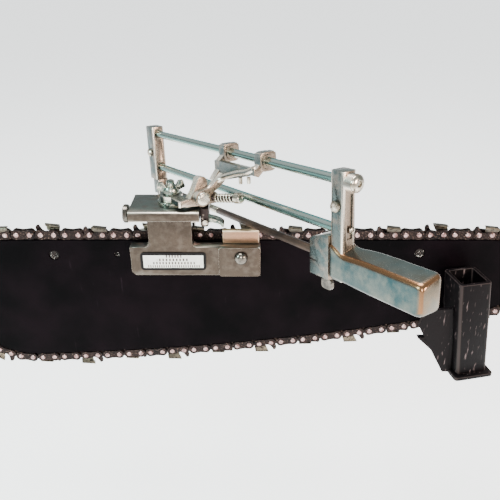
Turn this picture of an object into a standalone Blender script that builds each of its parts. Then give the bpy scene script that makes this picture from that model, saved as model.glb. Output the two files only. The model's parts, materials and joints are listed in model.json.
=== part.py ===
# Saw-chain filing guide clamped on a guide bar, held by a vise post.
# Lengths below are in millimetres; MM turns them into metres when a mesh is made.
# Working axes: X along the bar, Y from front to rear (bar mid-plane at 0), Z up from the
# chain's rivet line on the top run. ORIGIN moves all of it to the foot of the vise post.
import math

import bmesh
import bpy
from mathutils import Matrix, Vector

MM = 0.001
GAP = 0.3            # space between pieces that touch
RUN = 0.1            # radial play of a shaft that turns or slides in its bore

# vise post
POST_SIZE = 26.5
POST_WALL = 3.0
POST_YAW = math.radians(12.0)
POST_TOP = Vector((168.0, -22.5, -25.0))
POST_LEAN = 11.5 / 88.0          # sideways shift per unit of height, outward going down
FOOT_Z = -113.0
FOOT_THICK = 3.2
FOOT_SIZE = 34.0
ORIGIN = Vector((POST_TOP.x + (POST_TOP.z - FOOT_Z) * POST_LEAN, POST_TOP.y, FOOT_Z))

# guide bar and chain
UNIT = 19.05         # one side link and one drive link
LINK_LONG = 10.35    # rivet spacing along a side link
UNITS = 56
NOSE_R = 37.0        # rivet line round the nose
NOSE_X = 191.6
TAIL_R = 60.0
BELLY_R = 2110.0
PLATE_IN = 0.95      # inner face of a bar plate, from the mid-plane
PLATE_OUT = 2.45
CORE_HALF = 0.65
RAIL_DROP = 4.8      # rail below the rivet line
GROOVE_DROP = 10.6   # groove floor below the rivet line
LINK_HALF = 4.2      # side link height each side of the rivet line
TANG_DROP = 9.4
CUTTER_TOP = 7.7
GAUGE_TOP = 7.2
PLATE_REACH = 4.6    # cutter top plate, from the mid-plane
BAR_HOLES = ((134.9, -16.2, 4.3), (-155.9, -18.0, 4.3), (-105.5, -17.1, 2.4))
CUTTER_X = -163.8    # leading rivet of a rear cutter on the top run

# clamp
CLAMP_X0, CLAMP_X1 = -92.0, 8.0
CLAMP_Z0, CLAMP_SHOULDER = -28.0, -3.8
NECK_X0, NECK_X1 = -77.0, -44.0
CLAMP_FRONT, CLAMP_INNER = -16.0, -7.5
BLOCK_X0, BLOCK_X1 = -91.0, -38.0
BLOCK_Z0, BLOCK_Z1 = 17.0, 25.5
BLOCK_REAR = 20.0
SCREW_R = 3.0

# turret, hinge and yoke
TURRET = Vector((-60.0, 2.0, 0.0))
ARM_Z0, ARM_Z1 = 29.3, 33.5
HINGE_N, HINGE_H, HINGE_R = -29.6, 21.4, 6.0
PIN_R = 2.5
LUG_S0, LUG_S1 = -14.7, -8.0
NEAR_S0, NEAR_S1 = LUG_S1 + GAP, -2.0
EYES = ((-13.4, -6.2), (33.4, 40.6))

# file frame: s along the file, n across it, h up from the file's axis
FRAME_AZ = math.radians(-55.3)   # direction of the file seen from above
FRAME_RISE = math.radians(7.5)   # the file rises towards the handle
FRAME_ROLL = math.radians(-2.3)
FRAME_AT = Vector((-8.1, 0.0, 12.8))
ROD_R = 3.175
UPPER_H, LOWER_H = 51.0, 20.2
FILE_R = 2.75
FERRULE_S0, FERRULE_S1 = -50.0, -30.0
BUSH_R = 5.0
LEFT_S0, LEFT_S1 = -146.0, -131.0
RIGHT_S0, RIGHT_S1 = 110.4, 121.6
POST_H1 = 57.6
HANDLE_END = 183.7

D = Vector((math.cos(FRAME_AZ) * math.cos(FRAME_RISE), math.sin(FRAME_AZ) * math.cos(FRAME_RISE), math.sin(FRAME_RISE)))
LEVEL = Vector((-math.sin(FRAME_AZ), math.cos(FRAME_AZ), 0.0))
N = LEVEL * math.cos(FRAME_ROLL) + D.cross(LEVEL) * math.sin(FRAME_ROLL)
W = D.cross(N)
X, Y, Z = Vector((1, 0, 0)), Vector((0, 1, 0)), Vector((0, 0, 1))

COLOURS = {
    "black_paint": (0.02, 0.02, 0.022, 1, 0.2, 0.5), "bar_black": (0.03, 0.03, 0.033, 1, 0.3, 0.5),
    "chain_steel": (0.12, 0.09, 0.08, 1, 0.9, 0.4), "cast": (0.62, 0.63, 0.63, 1, 0.9, 0.35),
    "bright": (0.75, 0.75, 0.74, 1, 1.0, 0.2), "bronze": (0.5, 0.36, 0.22, 1, 0.8, 0.4),
    "file_dark": (0.12, 0.10, 0.085, 1, 0.7, 0.5), "brass": (0.75, 0.55, 0.2, 1, 1.0, 0.3),
    "label": (0.85, 0.85, 0.83, 1, 0.0, 0.5), "teal": (0.22, 0.36, 0.36, 1, 0.7, 0.4),
    "dark_steel": (0.1, 0.1, 0.1, 1, 0.9, 0.4),
}

for old in list(bpy.data.objects):
    bpy.data.objects.remove(old, do_unlink=True)


def frame(s, n, h):
    """A point of the file frame in the working axes."""
    return FRAME_AT + D * s + N * n + W * h


STOP_AT = frame(15.0, -9.5, 21.5)        # middle of the stop screw's knob
STOP_DIR = (D * 0.944 + N * 0.305 + W * 0.126).normalized()
STOP_ROOT = -29.0


def paint(obj, name, colour):
    mat = bpy.data.materials.new(name + "_mat")
    mat.use_nodes = True
    shader = mat.node_tree.nodes["Principled BSDF"]
    r, g, b, a, metal, rough = COLOURS[colour]
    shader.inputs["Base Color"].default_value = (r, g, b, a)
    shader.inputs["Metallic"].default_value = metal
    shader.inputs["Roughness"].default_value = rough
    obj.data.materials.append(mat)


def make(name, bm, colour=None, pivot=None, smooth=True):
    """Turn a bmesh in working axes into an object; with no colour it is a hidden tool body."""
    at = ORIGIN if pivot is None else pivot
    bmesh.ops.recalc_face_normals(bm, faces=bm.faces)
    for v in bm.verts:
        v.co = (v.co - at) * MM
    mesh = bpy.data.meshes.new(name)
    bm.to_mesh(mesh)
    bm.free()
    if smooth:
        for p in mesh.polygons:
            p.use_smooth = True
        mesh.set_sharp_from_angle(angle=math.radians(32))
    obj = bpy.data.objects.new(name, mesh)
    obj.location = (at - ORIGIN) * MM
    bpy.context.scene.collection.objects.link(obj)
    if colour is None:
        obj.hide_render = True
        obj.display_type = 'WIRE'
    else:
        paint(obj, name, colour)
    return obj


def combine(obj, kind, *tools):
    for tool in tools:
        mod = obj.modifiers.new(tool.name, 'BOOLEAN')
        mod.operation = kind
        mod.solver = 'EXACT'
        mod.object = tool
    return obj


def join(obj, *tools):
    return combine(obj, 'UNION', *tools)


def cut(obj, *tools):
    return combine(obj, 'DIFFERENCE', *tools)


def prism(points, u, v, w, lo, hi, at=Vector((0, 0, 0)), bm=None):
    """Extrude a polygon given in (u, v) along w, from lo to hi."""
    bm = bm or bmesh.new()
    ends = [[bm.verts.new(at + u * a + v * b + w * h) for a, b in points] for h in (lo, hi)]
    bm.faces.new(ends[0])
    bm.faces.new(ends[1])
    for i in range(len(points)):
        j = (i + 1) % len(points)
        bm.faces.new((ends[0][i], ends[0][j], ends[1][j], ends[1][i]))
    return bm


def band(outer, inner, w, lo, hi):
    """A closed ring: matching outer and inner loops of points, extruded along w."""
    bm = bmesh.new()
    loops = [[bm.verts.new(p + w * h) for p in ring] for ring in (outer, inner) for h in (lo, hi)]
    ol, oh, il, ih = loops
    for i in range(len(outer)):
        j = (i + 1) % len(outer)
        bm.faces.new((ol[i], ol[j], oh[j], oh[i]))
        bm.faces.new((il[i], il[j], ih[j], ih[i]))
        bm.faces.new((ol[i], ol[j], il[j], il[i]))
        bm.faces.new((oh[i], oh[j], ih[j], ih[i]))
    return bm


def rounded(x0, y0, x1, y1, r, steps=3):
    """A rectangle with rounded corners."""
    out = []
    for cx, cy, start in ((x1 - r, y1 - r, 0), (x0 + r, y1 - r, 90), (x0 + r, y0 + r, 180),
                          (x1 - r, y0 + r, 270)):
        for k in range(steps + 1):
            a = math.radians(start + 90 * k / steps)
            out.append((cx + r * math.cos(a), cy + r * math.sin(a)))
    return out


def circle(cx, cy, r, steps=24):
    return [(cx + r * math.cos(2 * math.pi * k / steps), cy + r * math.sin(2 * math.pi * k / steps))
            for k in range(steps)]


def side(axis):
    u = Z.cross(axis)
    if u.length < 1e-6:
        u = Vector((1, 0, 0))
    u.normalize()
    return u, axis.cross(u)


def lathe(profile, at, axis, steps=24, closed=False):
    """Revolve (radius, distance) pairs about an axis; closed makes a tube."""
    u, v = side(axis)
    bm = bmesh.new()
    rings = []
    for r, t in profile:
        if r == 0:
            rings.append([bm.verts.new(at + axis * t)])
        else:
            rings.append([bm.verts.new(at + axis * t + (u * math.cos(2 * math.pi * k / steps)
                                                        + v * math.sin(2 * math.pi * k / steps)) * r)
                          for k in range(steps)])
    pairs = list(zip(rings, rings[1:])) + ([(rings[-1], rings[0])] if closed else [])
    for a, b in pairs:
        for k in range(steps):
            j = (k + 1) % steps
            if len(a) == 1:
                bm.faces.new((a[0], b[k], b[j]))
            elif len(b) == 1:
                bm.faces.new((a[k], a[j], b[0]))
            else:
                bm.faces.new((a[k], a[j], b[j], b[k]))
    return bm


def rod(at, axis, lo, hi, r, steps=24):
    return lathe([(0, lo), (r, lo), (r, hi), (0, hi)], at, axis, steps)


def bore(name, at, axis, lo, hi, r, play=RUN, steps=24):
    """A hidden cylinder whose flats stand `play` outside a shaft of radius r."""
    return make(name, rod(at, axis, lo, hi, (r + play) / math.cos(math.pi / steps), steps))


def box(x0, y0, z0, x1, y1, z1):
    return prism([(x0, y0), (x1, y0), (x1, y1), (x0, y1)], X, Y, Z, z0, z1)


def fbox(s0, n0, h0, s1, n1, h1, r=0.0, steps=2):
    """A block of the file frame, with rounded upright edges if r is given."""
    pts = rounded(s0, n0, s1, n1, r, steps) if r else [(s0, n0), (s1, n0), (s1, n1), (s0, n1)]
    return prism(pts, D, N, W, h0, h1, at=FRAME_AT)


# ---------------------------------------------------------------- chain path
def tangent_centre(tail_x):
    """Centre of the belly arc, which touches the nose and tail circles from outside them."""
    a, ra = Vector((NOSE_X, -NOSE_R)), BELLY_R - NOSE_R
    b, rb = Vector((tail_x, -TAIL_R)), BELLY_R - TAIL_R
    gap = b - a
    dist = gap.length
    along = (ra * ra - rb * rb + dist * dist) / (2 * dist)
    up = math.sqrt(ra * ra - along * along)
    e = gap / dist
    return a + e * along + Vector((e.y, -e.x)) * up


def path(tail_x):
    """Segments of the loop, clockwise seen from the front, starting at the top of the tail."""
    nose, tail = Vector((NOSE_X, -NOSE_R)), Vector((tail_x, -TAIL_R))
    belly = tangent_centre(tail_x)
    dn, dt = (nose - belly).normalized(), (tail - belly).normalized()
    an, at = math.atan2(dn.y, dn.x), math.atan2(dt.y, dt.x)
    if at > 0:
        at -= 2 * math.pi
    if an > 0:
        an -= 2 * math.pi
    return [("line", tail_x, NOSE_X - tail_x),
            ("arc", nose, NOSE_R, math.pi / 2, math.pi / 2 - an),
            ("arc", belly, BELLY_R, an, an - at),
            ("arc", tail, TAIL_R, at, at + 1.5 * math.pi)]


def length(segments):
    return sum(s[2] if s[0] == "line" else s[2] * s[4] for s in segments)


lo_x, hi_x = -260.0, -120.0
for _ in range(60):
    mid_x = (lo_x + hi_x) / 2
    if length(path(mid_x)) > UNITS * UNIT:
        lo_x = mid_x
    else:
        hi_x = mid_x
TAIL_X = (lo_x + hi_x) / 2
LOOP = path(TAIL_X)
CHAIN_START = CUTTER_X - TAIL_X


def on_loop(u, off=0.0):
    """Point at arc length u of the rivet line, moved outward by off."""
    u %= UNITS * UNIT
    for seg in LOOP:
        if seg[0] == "line":
            if u <= seg[2]:
                return Vector((seg[1] + u, 0, off))
            u -= seg[2]
        else:
            _, c, r, a0, turn = seg
            if u <= r * turn:
                a = a0 - u / r
                return Vector((c.x + (r + off) * math.cos(a), 0, c.y + (r + off) * math.sin(a)))
            u -= r * turn
    return on_loop(0.0, off)


def outline(off):
    """Outline of the bar: the loop moved inward, with points only where it bends."""
    pts, u = [], 0.0
    for seg in LOOP:
        if seg[0] == "line":
            pts.append(on_loop(0.0, off))
            u += seg[2]
        else:
            span = seg[2] * seg[4]
            count = 20 if seg[2] < 200 else 14
            for k in range(count):
                pts.append(on_loop(u + span * k / count, off))
            u += span
    return [(p.x, p.z) for p in pts]


# ---------------------------------------------------------------- vise
def post_at(z):
    return Vector((POST_TOP.x + (POST_TOP.z - z) * POST_LEAN, POST_TOP.y, z))


yaw = Matrix.Rotation(POST_YAW, 3, 'Z')
tube_top, tube_end = post_at(POST_TOP.z), post_at(FOOT_Z + FOOT_THICK + GAP)
half, hollow = POST_SIZE / 2, POST_SIZE / 2 - POST_WALL
bm = bmesh.new()
levels = [[[bm.verts.new(c + yaw @ Vector((a, b, 0))) for a, b in rounded(-h, -h, h, h, r, 3)]
           for c in (tube_end, tube_top)] for h, r in ((half, 3.0), (hollow, 1.2))]
(ol, oh), (il, ih) = levels
for i in range(len(ol)):
    j = (i + 1) % len(ol)
    for a, b in ((ol, oh), (il, ih), (ol, il), (oh, ih)):
        bm.faces.new((a[i], a[j], b[j], b[i]))
make("vise_post", bm, "black_paint")

foot = prism([(a, b) for a, b in rounded(-FOOT_SIZE / 2, -FOOT_SIZE / 2, FOOT_SIZE / 2, FOOT_SIZE / 2, 3)],
             yaw @ X, yaw @ Y, Z, FOOT_Z, FOOT_Z + FOOT_THICK, at=Vector((ORIGIN.x, ORIGIN.y, 0)))
make("foot_plate", foot, "black_paint")

BRACKET_Y0 = -6.5                # clears the rear edge of the yawed tube
BRACKET_Z0 = FOOT_Z + FOOT_THICK + GAP
VISE_X, VISE_Z, VISE_SCREW_R = 172.0, -50.0, 4.0
bracket = make("vise_bracket", prism([(143, -96), (188, -96), (188, BRACKET_Z0), (157, BRACKET_Z0)],
                                     X, Z, Y, BRACKET_Y0, -1.0), "black_paint", smooth=False)
join(bracket,
     make("bracket_bridge", box(164, -1.5, -106.5, 186, 30, -97)),
     make("bracket_upright", prism(rounded(164, -106, 186, -38, 5), X, Z, Y, 22, 30)))
cut(bracket, bore("bracket_bore", Vector((VISE_X, 0, VISE_Z)), Y, 20, 32, VISE_SCREW_R))
pad = rounded(160, -64, 182, -36, 3)
make("front_jaw_pad", prism(pad, X, Z, Y, BRACKET_Y0, -PLATE_OUT - GAP), "black_paint")
make("rear_jaw_pad", prism(pad, X, Z, Y, PLATE_OUT + GAP, 6.5), "black_paint")
vise_at = Vector((VISE_X, 0, VISE_Z))
screw = make("vise_screw", lathe([(0, 6.8), (VISE_SCREW_R - 1, 6.8), (VISE_SCREW_R, 8), (VISE_SCREW_R, 35),
                                  (6.5, 36), (6.5, 44), (5, 46), (0, 46)], vise_at, Y), "dark_steel",
             pivot=vise_at + Y * 30)
cut(screw, bore("tommy_hole", vise_at + Y * 40.5, X, -12, 12, 2.2, play=0.2, steps=16))
make("tommy_bar", lathe([(0, -29), (2, -29), (3.2, -27.5), (3.2, -25), (2.2, -24), (2.2, 24), (3.2, 25),
                         (3.2, 27.5), (2, 29), (0, 29)], vise_at + Y * 40.5, X, 16), "dark_steel",
     pivot=vise_at + Y * 30)
tube_side = post_at(-56.0) + yaw @ (X * (half + GAP + 1.0))
make("brass_set_screw", lathe([(0, 0), (4.2, 0), (4.2, 2.5), (3.4, 3.5), (0, 3.5)], tube_side,
                              yaw @ X, 6), "brass", smooth=False)

# ---------------------------------------------------------------- bar
for name, lo, hi in (("bar_front_plate", -PLATE_OUT, -PLATE_IN), ("bar_rear_plate", PLATE_IN, PLATE_OUT)):
    plate = make(name, prism(outline(-RAIL_DROP), X, Z, Y, lo, hi), "bar_black")
    cut(plate, *[bore(f"{name}_hole_{k}", Vector((x, 0, z)), Y, -4, 4, r, play=0) for k, (x, z, r)
                 in enumerate(BAR_HOLES)])
core = make("bar_core", prism(outline(-GROOVE_DROP), X, Z, Y, -CORE_HALF, CORE_HALF), "bar_black")
cut(core, *[bore(f"core_hole_{k}", Vector((x, 0, z)), Y, -4, 4, r, play=0) for k, (x, z, r)
            in enumerate(BAR_HOLES)])
SPROCKET_R = NOSE_R - GROOVE_DROP
nose = Vector((NOSE_X, 0, -NOSE_R))
cut(core, bore("sprocket_room", nose, Y, -4, 4, SPROCKET_R + 0.6, play=0, steps=40))
cut(core, make("sprocket_mouth", box(NOSE_X, -4, -NOSE_R - 40, NOSE_X + 50, 4, -NOSE_R + 40)))
teeth = [(r * math.cos(math.pi * (k + e) / 12), r * math.sin(math.pi * (k + e) / 12))
         for k in range(24) for r, e in (((SPROCKET_R, -0.25), (SPROCKET_R, 0.25)) if k % 2
                                         else ((SPROCKET_R - 3, -0.25), (SPROCKET_R - 3, 0.25)))]
make("end_sprocket", prism(teeth, X, Z, Y, -CORE_HALF, CORE_HALF, at=nose), "dark_steel")

# ---------------------------------------------------------------- chain
drive_out, drive_in = [], []
for k in range(UNITS):
    u = CHAIN_START + k * UNIT + LINK_LONG
    gap = UNIT - LINK_LONG
    for t, top, low in ((0.5, 3.2, -5.2), (gap - 0.5, 3.2, -TANG_DROP), (gap + 4.0, 2.0, -5.2)):
        drive_out.append(on_loop(u + t, top))
        drive_in.append(on_loop(u + t, low))
make("chain_drive_links", band(drive_out, drive_in, Y, -CORE_HALF, CORE_HALF), "chain_steel", smooth=False)

for name, sign, phase in (("chain_front_side_links", -1, 2), ("chain_rear_side_links", 1, 0)):
    outer, inner, plates = [], [], bmesh.new()
    for k in range(UNITS):
        u = CHAIN_START + k * UNIT
        if k % 4 == phase:
            shape = ((-3.9, 6.3, -2.8), (-2.6, GAUGE_TOP, -LINK_HALF), (-1.3, 6.4, -LINK_HALF), (0.8, 3.0, -LINK_HALF),
                     (2.8, 3.6, -LINK_HALF), (3.3, CUTTER_TOP, -LINK_HALF), (11.4, CUTTER_TOP - 0.3, -LINK_HALF),
                     (14.7, CUTTER_TOP - 0.4, -2.8), (15.2, 2.8, -2.8))
            lo = [on_loop(u + t, CUTTER_TOP - 1.2) for t in (3.5, 14.5)]
            hi = [on_loop(u + t, CUTTER_TOP - d) for t, d in ((3.5, 0.06), (14.5, 0.45))]
            quad = [plates.verts.new(p + Y * sign * y) for y in (PLATE_OUT - 0.5, PLATE_REACH)
                    for p in (lo[0], lo[1], hi[1], hi[0])]
            for f in ((0, 1, 2, 3), (4, 5, 6, 7), (0, 1, 5, 4), (1, 2, 6, 5), (2, 3, 7, 6), (3, 0, 4, 7)):
                plates.faces.new([quad[i] for i in f])
        else:
            shape = ((-1.0, LINK_HALF, -LINK_HALF), (LINK_LONG + 1, LINK_HALF, -LINK_HALF),
                     (LINK_LONG + 2.5, 2.8, -2.8), (UNIT - 4.7, 2.8, -2.8))
        for t, top, low in shape:
            outer.append(on_loop(u + t, top))
            inner.append(on_loop(u + t, low))
    lo, hi = sorted((sign * PLATE_IN, sign * PLATE_OUT))
    ring = make(name, band(outer, inner, Y, lo, hi), "chain_steel", smooth=False)
    join(ring, make(name + "_cutters", plates))

# ---------------------------------------------------------------- clamp
tee = [(CLAMP_X0 + 3, CLAMP_Z0), (CLAMP_X1 - 3, CLAMP_Z0), (CLAMP_X1, CLAMP_Z0 + 3), (CLAMP_X1, CLAMP_SHOULDER),
       (NECK_X1 + 3, CLAMP_SHOULDER), (NECK_X1 + 0.6, CLAMP_SHOULDER + 1.2), (NECK_X1, CLAMP_SHOULDER + 4),
       (NECK_X1, BLOCK_Z0 + 1), (NECK_X0, BLOCK_Z0 + 1), (NECK_X0, CLAMP_SHOULDER + 4),
       (NECK_X0 - 0.6, CLAMP_SHOULDER + 1.2), (NECK_X0 - 3, CLAMP_SHOULDER), (CLAMP_X0, CLAMP_SHOULDER),
       (CLAMP_X0, CLAMP_Z0 + 3)]
body = make("clamp_body", prism(tee, X, Z, Y, CLAMP_FRONT, CLAMP_INNER), "cast", smooth=False)
REAR_X1, REAR_Y0, REAR_Y1 = -38.0, 8.0, 16.0
rear_tee = [(max(CLAMP_X0, min(x, REAR_X1)), z) for x, z in
            ((CLAMP_X0 + 3, CLAMP_Z0), (REAR_X1 - 3, CLAMP_Z0), (REAR_X1, CLAMP_Z0 + 3), (REAR_X1, CLAMP_SHOULDER),
             (NECK_X1, CLAMP_SHOULDER + 3), (NECK_X1, BLOCK_Z0 + 1), (NECK_X0, BLOCK_Z0 + 1),
             (NECK_X0, CLAMP_SHOULDER + 3), (CLAMP_X0, CLAMP_SHOULDER), (CLAMP_X0, CLAMP_Z0 + 3))]
join(body,
     make("clamp_foot", prism(rounded(CLAMP_X0, CLAMP_Z0, CLAMP_X1, -8, 2), X, Z, Y, CLAMP_INNER - 0.5,
                              -PLATE_OUT - GAP)),
     make("clamp_boss", prism(rounded(-24, CLAMP_Z0 - 0.5, CLAMP_X1, CLAMP_SHOULDER, 2), X, Z, Y, -17.5,
                              CLAMP_FRONT + 0.5)),
     make("clamp_rear", prism(rear_tee, X, Z, Y, REAR_Y0, REAR_Y1)),
     make("clamp_block", prism(rounded(CLAMP_FRONT, BLOCK_Z0, BLOCK_REAR, BLOCK_Z1, 1.2, 2), Y, Z, X,
                               BLOCK_X0, BLOCK_X1)))
DOME_AT = Vector((-6.9, 0, -12.0))
REAR_SCREWS = (("rear_thumb_screw_left", -78.0), ("rear_thumb_screw_right", -50.0))
KNOB_AT = Vector((BLOCK_X0, -8.0, 21.2))
cut(body,
    bore("dome_bore", DOME_AT, Y, -20, 0, SCREW_R),
    *[bore(n + "_bore", Vector((x, 0, -17)), Y, 6, 18, SCREW_R) for n, x in REAR_SCREWS],
    bore("knob_bore", KNOB_AT, X, -2, 16, 2.5))
make("label_plate", prism(rounded(-84.4, -23.1, -33.9, -8.0, 2.5), X, Z, Y, CLAMP_FRONT - GAP - 0.7,
                          CLAMP_FRONT - GAP), "label")
make("guide_block", prism(rounded(-10, CLAMP_SHOULDER + GAP, -5.2, 7.4, 0.8, 2), Y, Z, X, -21, 7), "bronze")
make("rear_jaw", prism(rounded(-90, -27, -38, -8, 2), X, Z, Y, PLATE_OUT + GAP, 5.2), "cast")
make("domed_clamp_screw", lathe([(0, -22.2), (2.6, -21.8), (4.4, -20.4), (5.2, -18.6), (5.2, -17.8), (SCREW_R, -17.8),
                                 (SCREW_R, -PLATE_OUT - 2 * GAP), (0, -PLATE_OUT - 2 * GAP)], DOME_AT, Y), "bright",
     pivot=DOME_AT - Y * 17)
for n, x in REAR_SCREWS:
    at = Vector((x, 0, -17))
    make(n, lathe([(0, 5.5), (SCREW_R, 5.5), (SCREW_R, REAR_Y1 + GAP), (7.4, REAR_Y1 + GAP), (8, 17.2), (8, 23.6),
                   (7.4, 24.5), (0, 24.5)], at, Y, 20), "bright", pivot=at + Y * REAR_Y1)
make("side_knob", lathe([(0, -4.5), (6.8, -4.5), (7.5, -3.8), (7.5, -1.0), (6.8, -GAP), (2.5, -GAP), (2.5, 14), (0, 14)],
                        KNOB_AT, X, 24), "bright", pivot=KNOB_AT)

# ---------------------------------------------------------------- tooth stop
PAWL_AT = Vector((-34.0, 0, 14.0))
pawl_x0 = BLOCK_X1 + GAP
ears = make("pawl_bracket", box(pawl_x0, -8, 18.5, -31.5, 8, 24.8), "dark_steel", smooth=False)
join(ears, make("pawl_ear_front", prism(rounded(pawl_x0, 10, -31.5, 20, 1.5, 2), X, Z, Y, -8, -5.5)),
     make("pawl_ear_rear", prism(rounded(pawl_x0, 10, -31.5, 20, 1.5, 2), X, Z, Y, 3.5, 6)))
cut(ears, bore("pawl_ear_bore", PAWL_AT, Y, -10, 10, 1.2, steps=16))
make("pawl_pin", lathe([(0, -9.6), (2, -9.6), (2.2, -9.2), (2.2, -8.3), (1.2, -8.3), (1.2, 6.8), (0, 6.8)], PAWL_AT, Y,
                       16), "bright")
leaf = [(-36.2, 15.2), (-34.4, 16.4), (-30.5, 15.6), (-26.0, 14.4), (-22.0, 12.6), (-19.9, 10.4), (-20.0, 8.6),
        (-21.8, 8.5), (-22.6, 10.0), (-25.6, 11.6), (-30.5, 12.2), (-34.0, 11.7), (-35.8, 12.6)]
stop = make("tooth_stop", prism(leaf, X, Z, Y, -5.2, 3.2), "teal", pivot=PAWL_AT)
cut(stop, bore("stop_bore", PAWL_AT, Y, -7, 7, 1.2, steps=16))

# ---------------------------------------------------------------- turret
make("turret_base", lathe([(0, BLOCK_Z1 + GAP), (11, BLOCK_Z1 + GAP), (11, 28.2), (10.2, 29), (SCREW_R, 29),
                           (SCREW_R, 43.5), (2.4, 44.2), (0, 44.2)], TURRET, Z), "cast")
LEVEL_D = Vector((math.cos(FRAME_AZ), math.sin(FRAME_AZ), 0.0))
LEVEL_N = Z.cross(LEVEL_D)
hub = Vector(((TURRET - FRAME_AT).dot(LEVEL_D), (TURRET - FRAME_AT).dot(LEVEL_N)))
arm_pts = [(hub.x + 8.6 * math.cos(math.radians(a)), hub.y + 8.6 * math.sin(math.radians(a)))
           for a in range(30, 331, 20)] + [(-12, -45.5), (-11, -44.5), (-11, -37.0), (-12, -36.4)]
arm = make("swivel_arm", prism(arm_pts, LEVEL_D, LEVEL_N, Z, ARM_Z0, ARM_Z1, at=Vector((FRAME_AT.x, FRAME_AT.y, 0))),
           "cast", smooth=False)
lug = [(-44.5, 16.9), (-40, 15.6), (-30, 14.8), (-15.2, 14.4), (-13.4, 15.6), (-13.4, 21.4), (-14.8, 22.8),
       (-19.5, 23.4), (-21.3, 27), (-22.6, 34.6), (-24, 36), (-27.5, 36.6), (-29.3, 35.4), (-33.5, 26.5),
       (-37.5, 21.4), (-44.5, 20.4)]
join(arm, make("arm_lug", prism(lug, N, W, D, LUG_S0, LUG_S1, at=FRAME_AT)))
hinge = frame(0, HINGE_N, HINGE_H)
cut(arm, bore("arm_bore", TURRET, Z, 26, 36, SCREW_R), bore("lug_bore", hinge, D, LUG_S0 - 3, LUG_S1 + 3, PIN_R, play=0.2),
    bore("stop_bore_in_lug", STOP_AT, STOP_DIR, STOP_ROOT - 2, STOP_ROOT + 9, 1.8, steps=16))
make("hinge_pin", lathe([(0, LUG_S0 - 4.2), (PIN_R, LUG_S0 - 4.2), (PIN_R, NEAR_S1 + GAP), (5.2, NEAR_S1 + GAP),
                         (5.2, NEAR_S1 + 1.7), (4.4, NEAR_S1 + 2.4), (0, NEAR_S1 + 2.4)], hinge, D), "bright")
nut_r = (PIN_R + 0.2) / math.cos(math.pi / 24)
make("hinge_nut", lathe([(nut_r, LUG_S0 - 3.6), (3.9, LUG_S0 - 3.6), (3.9, LUG_S0 - GAP), (nut_r, LUG_S0 - GAP)], hinge, D,
                        24, closed=True), "bright")
wing = make("wing_nut", lathe([(0, ARM_Z1 + GAP), (6.4, ARM_Z1 + GAP), (6.4, 36.5), (5, 39.5), (0, 39.5)], TURRET, Z),
            "bright", pivot=TURRET + Z * ARM_Z1)
wings = [(-11, 38), (-9.5, 43), (-6, 43), (-3.5, 38.5), (3.5, 38.5), (6, 43), (9.5, 43), (11, 38), (5, 35.5), (-5, 35.5)]
wu = Vector((math.cos(math.radians(20)), math.sin(math.radians(20)), 0))
join(wing, make("wing_blades", prism(wings, wu, Z, Z.cross(wu), -1.5, 1.5, at=TURRET)))
cut(wing, bore("wing_bore", TURRET, Z, 30, 46, SCREW_R))
make("stop_screw", lathe([(0, STOP_ROOT), (1.8, STOP_ROOT), (1.8, -3.5), (3.8, -3.5), (4.4, -2.8), (4.4, 2.2), (3.8, 2.9),
                          (0, 2.9)], STOP_AT, STOP_DIR, 16), "bright", pivot=STOP_AT)

# the coil spring round the stop screw: one wire, square ended
COIL_R, WIRE_R, TURNS = 2.9, 0.5, 6
SPRING_0, SPRING_1 = STOP_ROOT + 6.9, STOP_ROOT + 17.5
stop_u, stop_v = side(STOP_DIR)
bm, rings, steps = bmesh.new(), [], TURNS * 8
for k in range(steps + 1):
    a = 2 * math.pi * k / 8
    t = SPRING_0 + (SPRING_1 - SPRING_0) * k / steps
    out = stop_u * math.cos(a) + stop_v * math.sin(a)
    rings.append([bm.verts.new(STOP_AT + STOP_DIR * (t + WIRE_R * math.sin(2 * math.pi * j / 5))
                               + out * (COIL_R + WIRE_R * math.cos(2 * math.pi * j / 5))) for j in range(5)])
for a, b in zip(rings, rings[1:]):
    for j in range(5):
        bm.faces.new((a[j], a[(j + 1) % 5], b[(j + 1) % 5], b[j]))
bm.faces.new(rings[0])
bm.faces.new(rings[-1])
make("stop_spring", bm, "bright")

# ---------------------------------------------------------------- yoke
near_arm = [(-33.4, 25.8), (-30.0, 27.4), (-23.4, 28.4), (-17.0, 33.0), (-12.0, 37.2), (-8.6, 40.6), (-8.6, 34.6),
            (-10.5, 31.0), (-14.7, 27.8), (-20.8, 24.4), (-24.2, 22.4)]
far_rib = [(-17.2, 32.7), (-12.4, 38.6), (-8.2, 43.6), (-8.2, 37.4), (-12.4, 32.4), (-15.2, 30.0)]
web = [(-13.0, 46.0), (-13.0, 38.2), (-7.4, 31.6), (1.6, 33.4), (16, 37.2), (33, 41.4), (39.6, 43.4), (39.6, 46.8)]
yoke = make("yoke", prism(web, D, W, N, -11.6, -7.1, at=FRAME_AT), "cast", smooth=False)
rib = [(-11.2, 42.2), (-7.6, 40.8), (-3, 44.9), (-3, 50), (-6, 50), (-11.2, 45.6)]
join(yoke,
     make("yoke_near_arm", prism(near_arm, N, W, D, NEAR_S0 + 0.2, NEAR_S1 - 0.2, at=FRAME_AT)),
     make("yoke_barrel", rod(hinge, D, NEAR_S0, NEAR_S1, HINGE_R)),
     make("yoke_far_rib", prism(far_rib, N, W, D, -12.6, NEAR_S0 + 1.0, at=FRAME_AT)))
for k, (s0, s1) in enumerate(EYES):
    join(yoke, make(f"yoke_eye_{k}", prism(rounded(-6.7, UPPER_H - 6.7, 6.7, UPPER_H + 6.7, 3.6), N, W, D, s0, s1,
                                           at=FRAME_AT)),
         make(f"yoke_rib_{k}", prism(rib, N, W, D, s0 + 0.8, s1 - 1.4, at=FRAME_AT)))
rail = frame(0, 0, UPPER_H)
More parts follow.
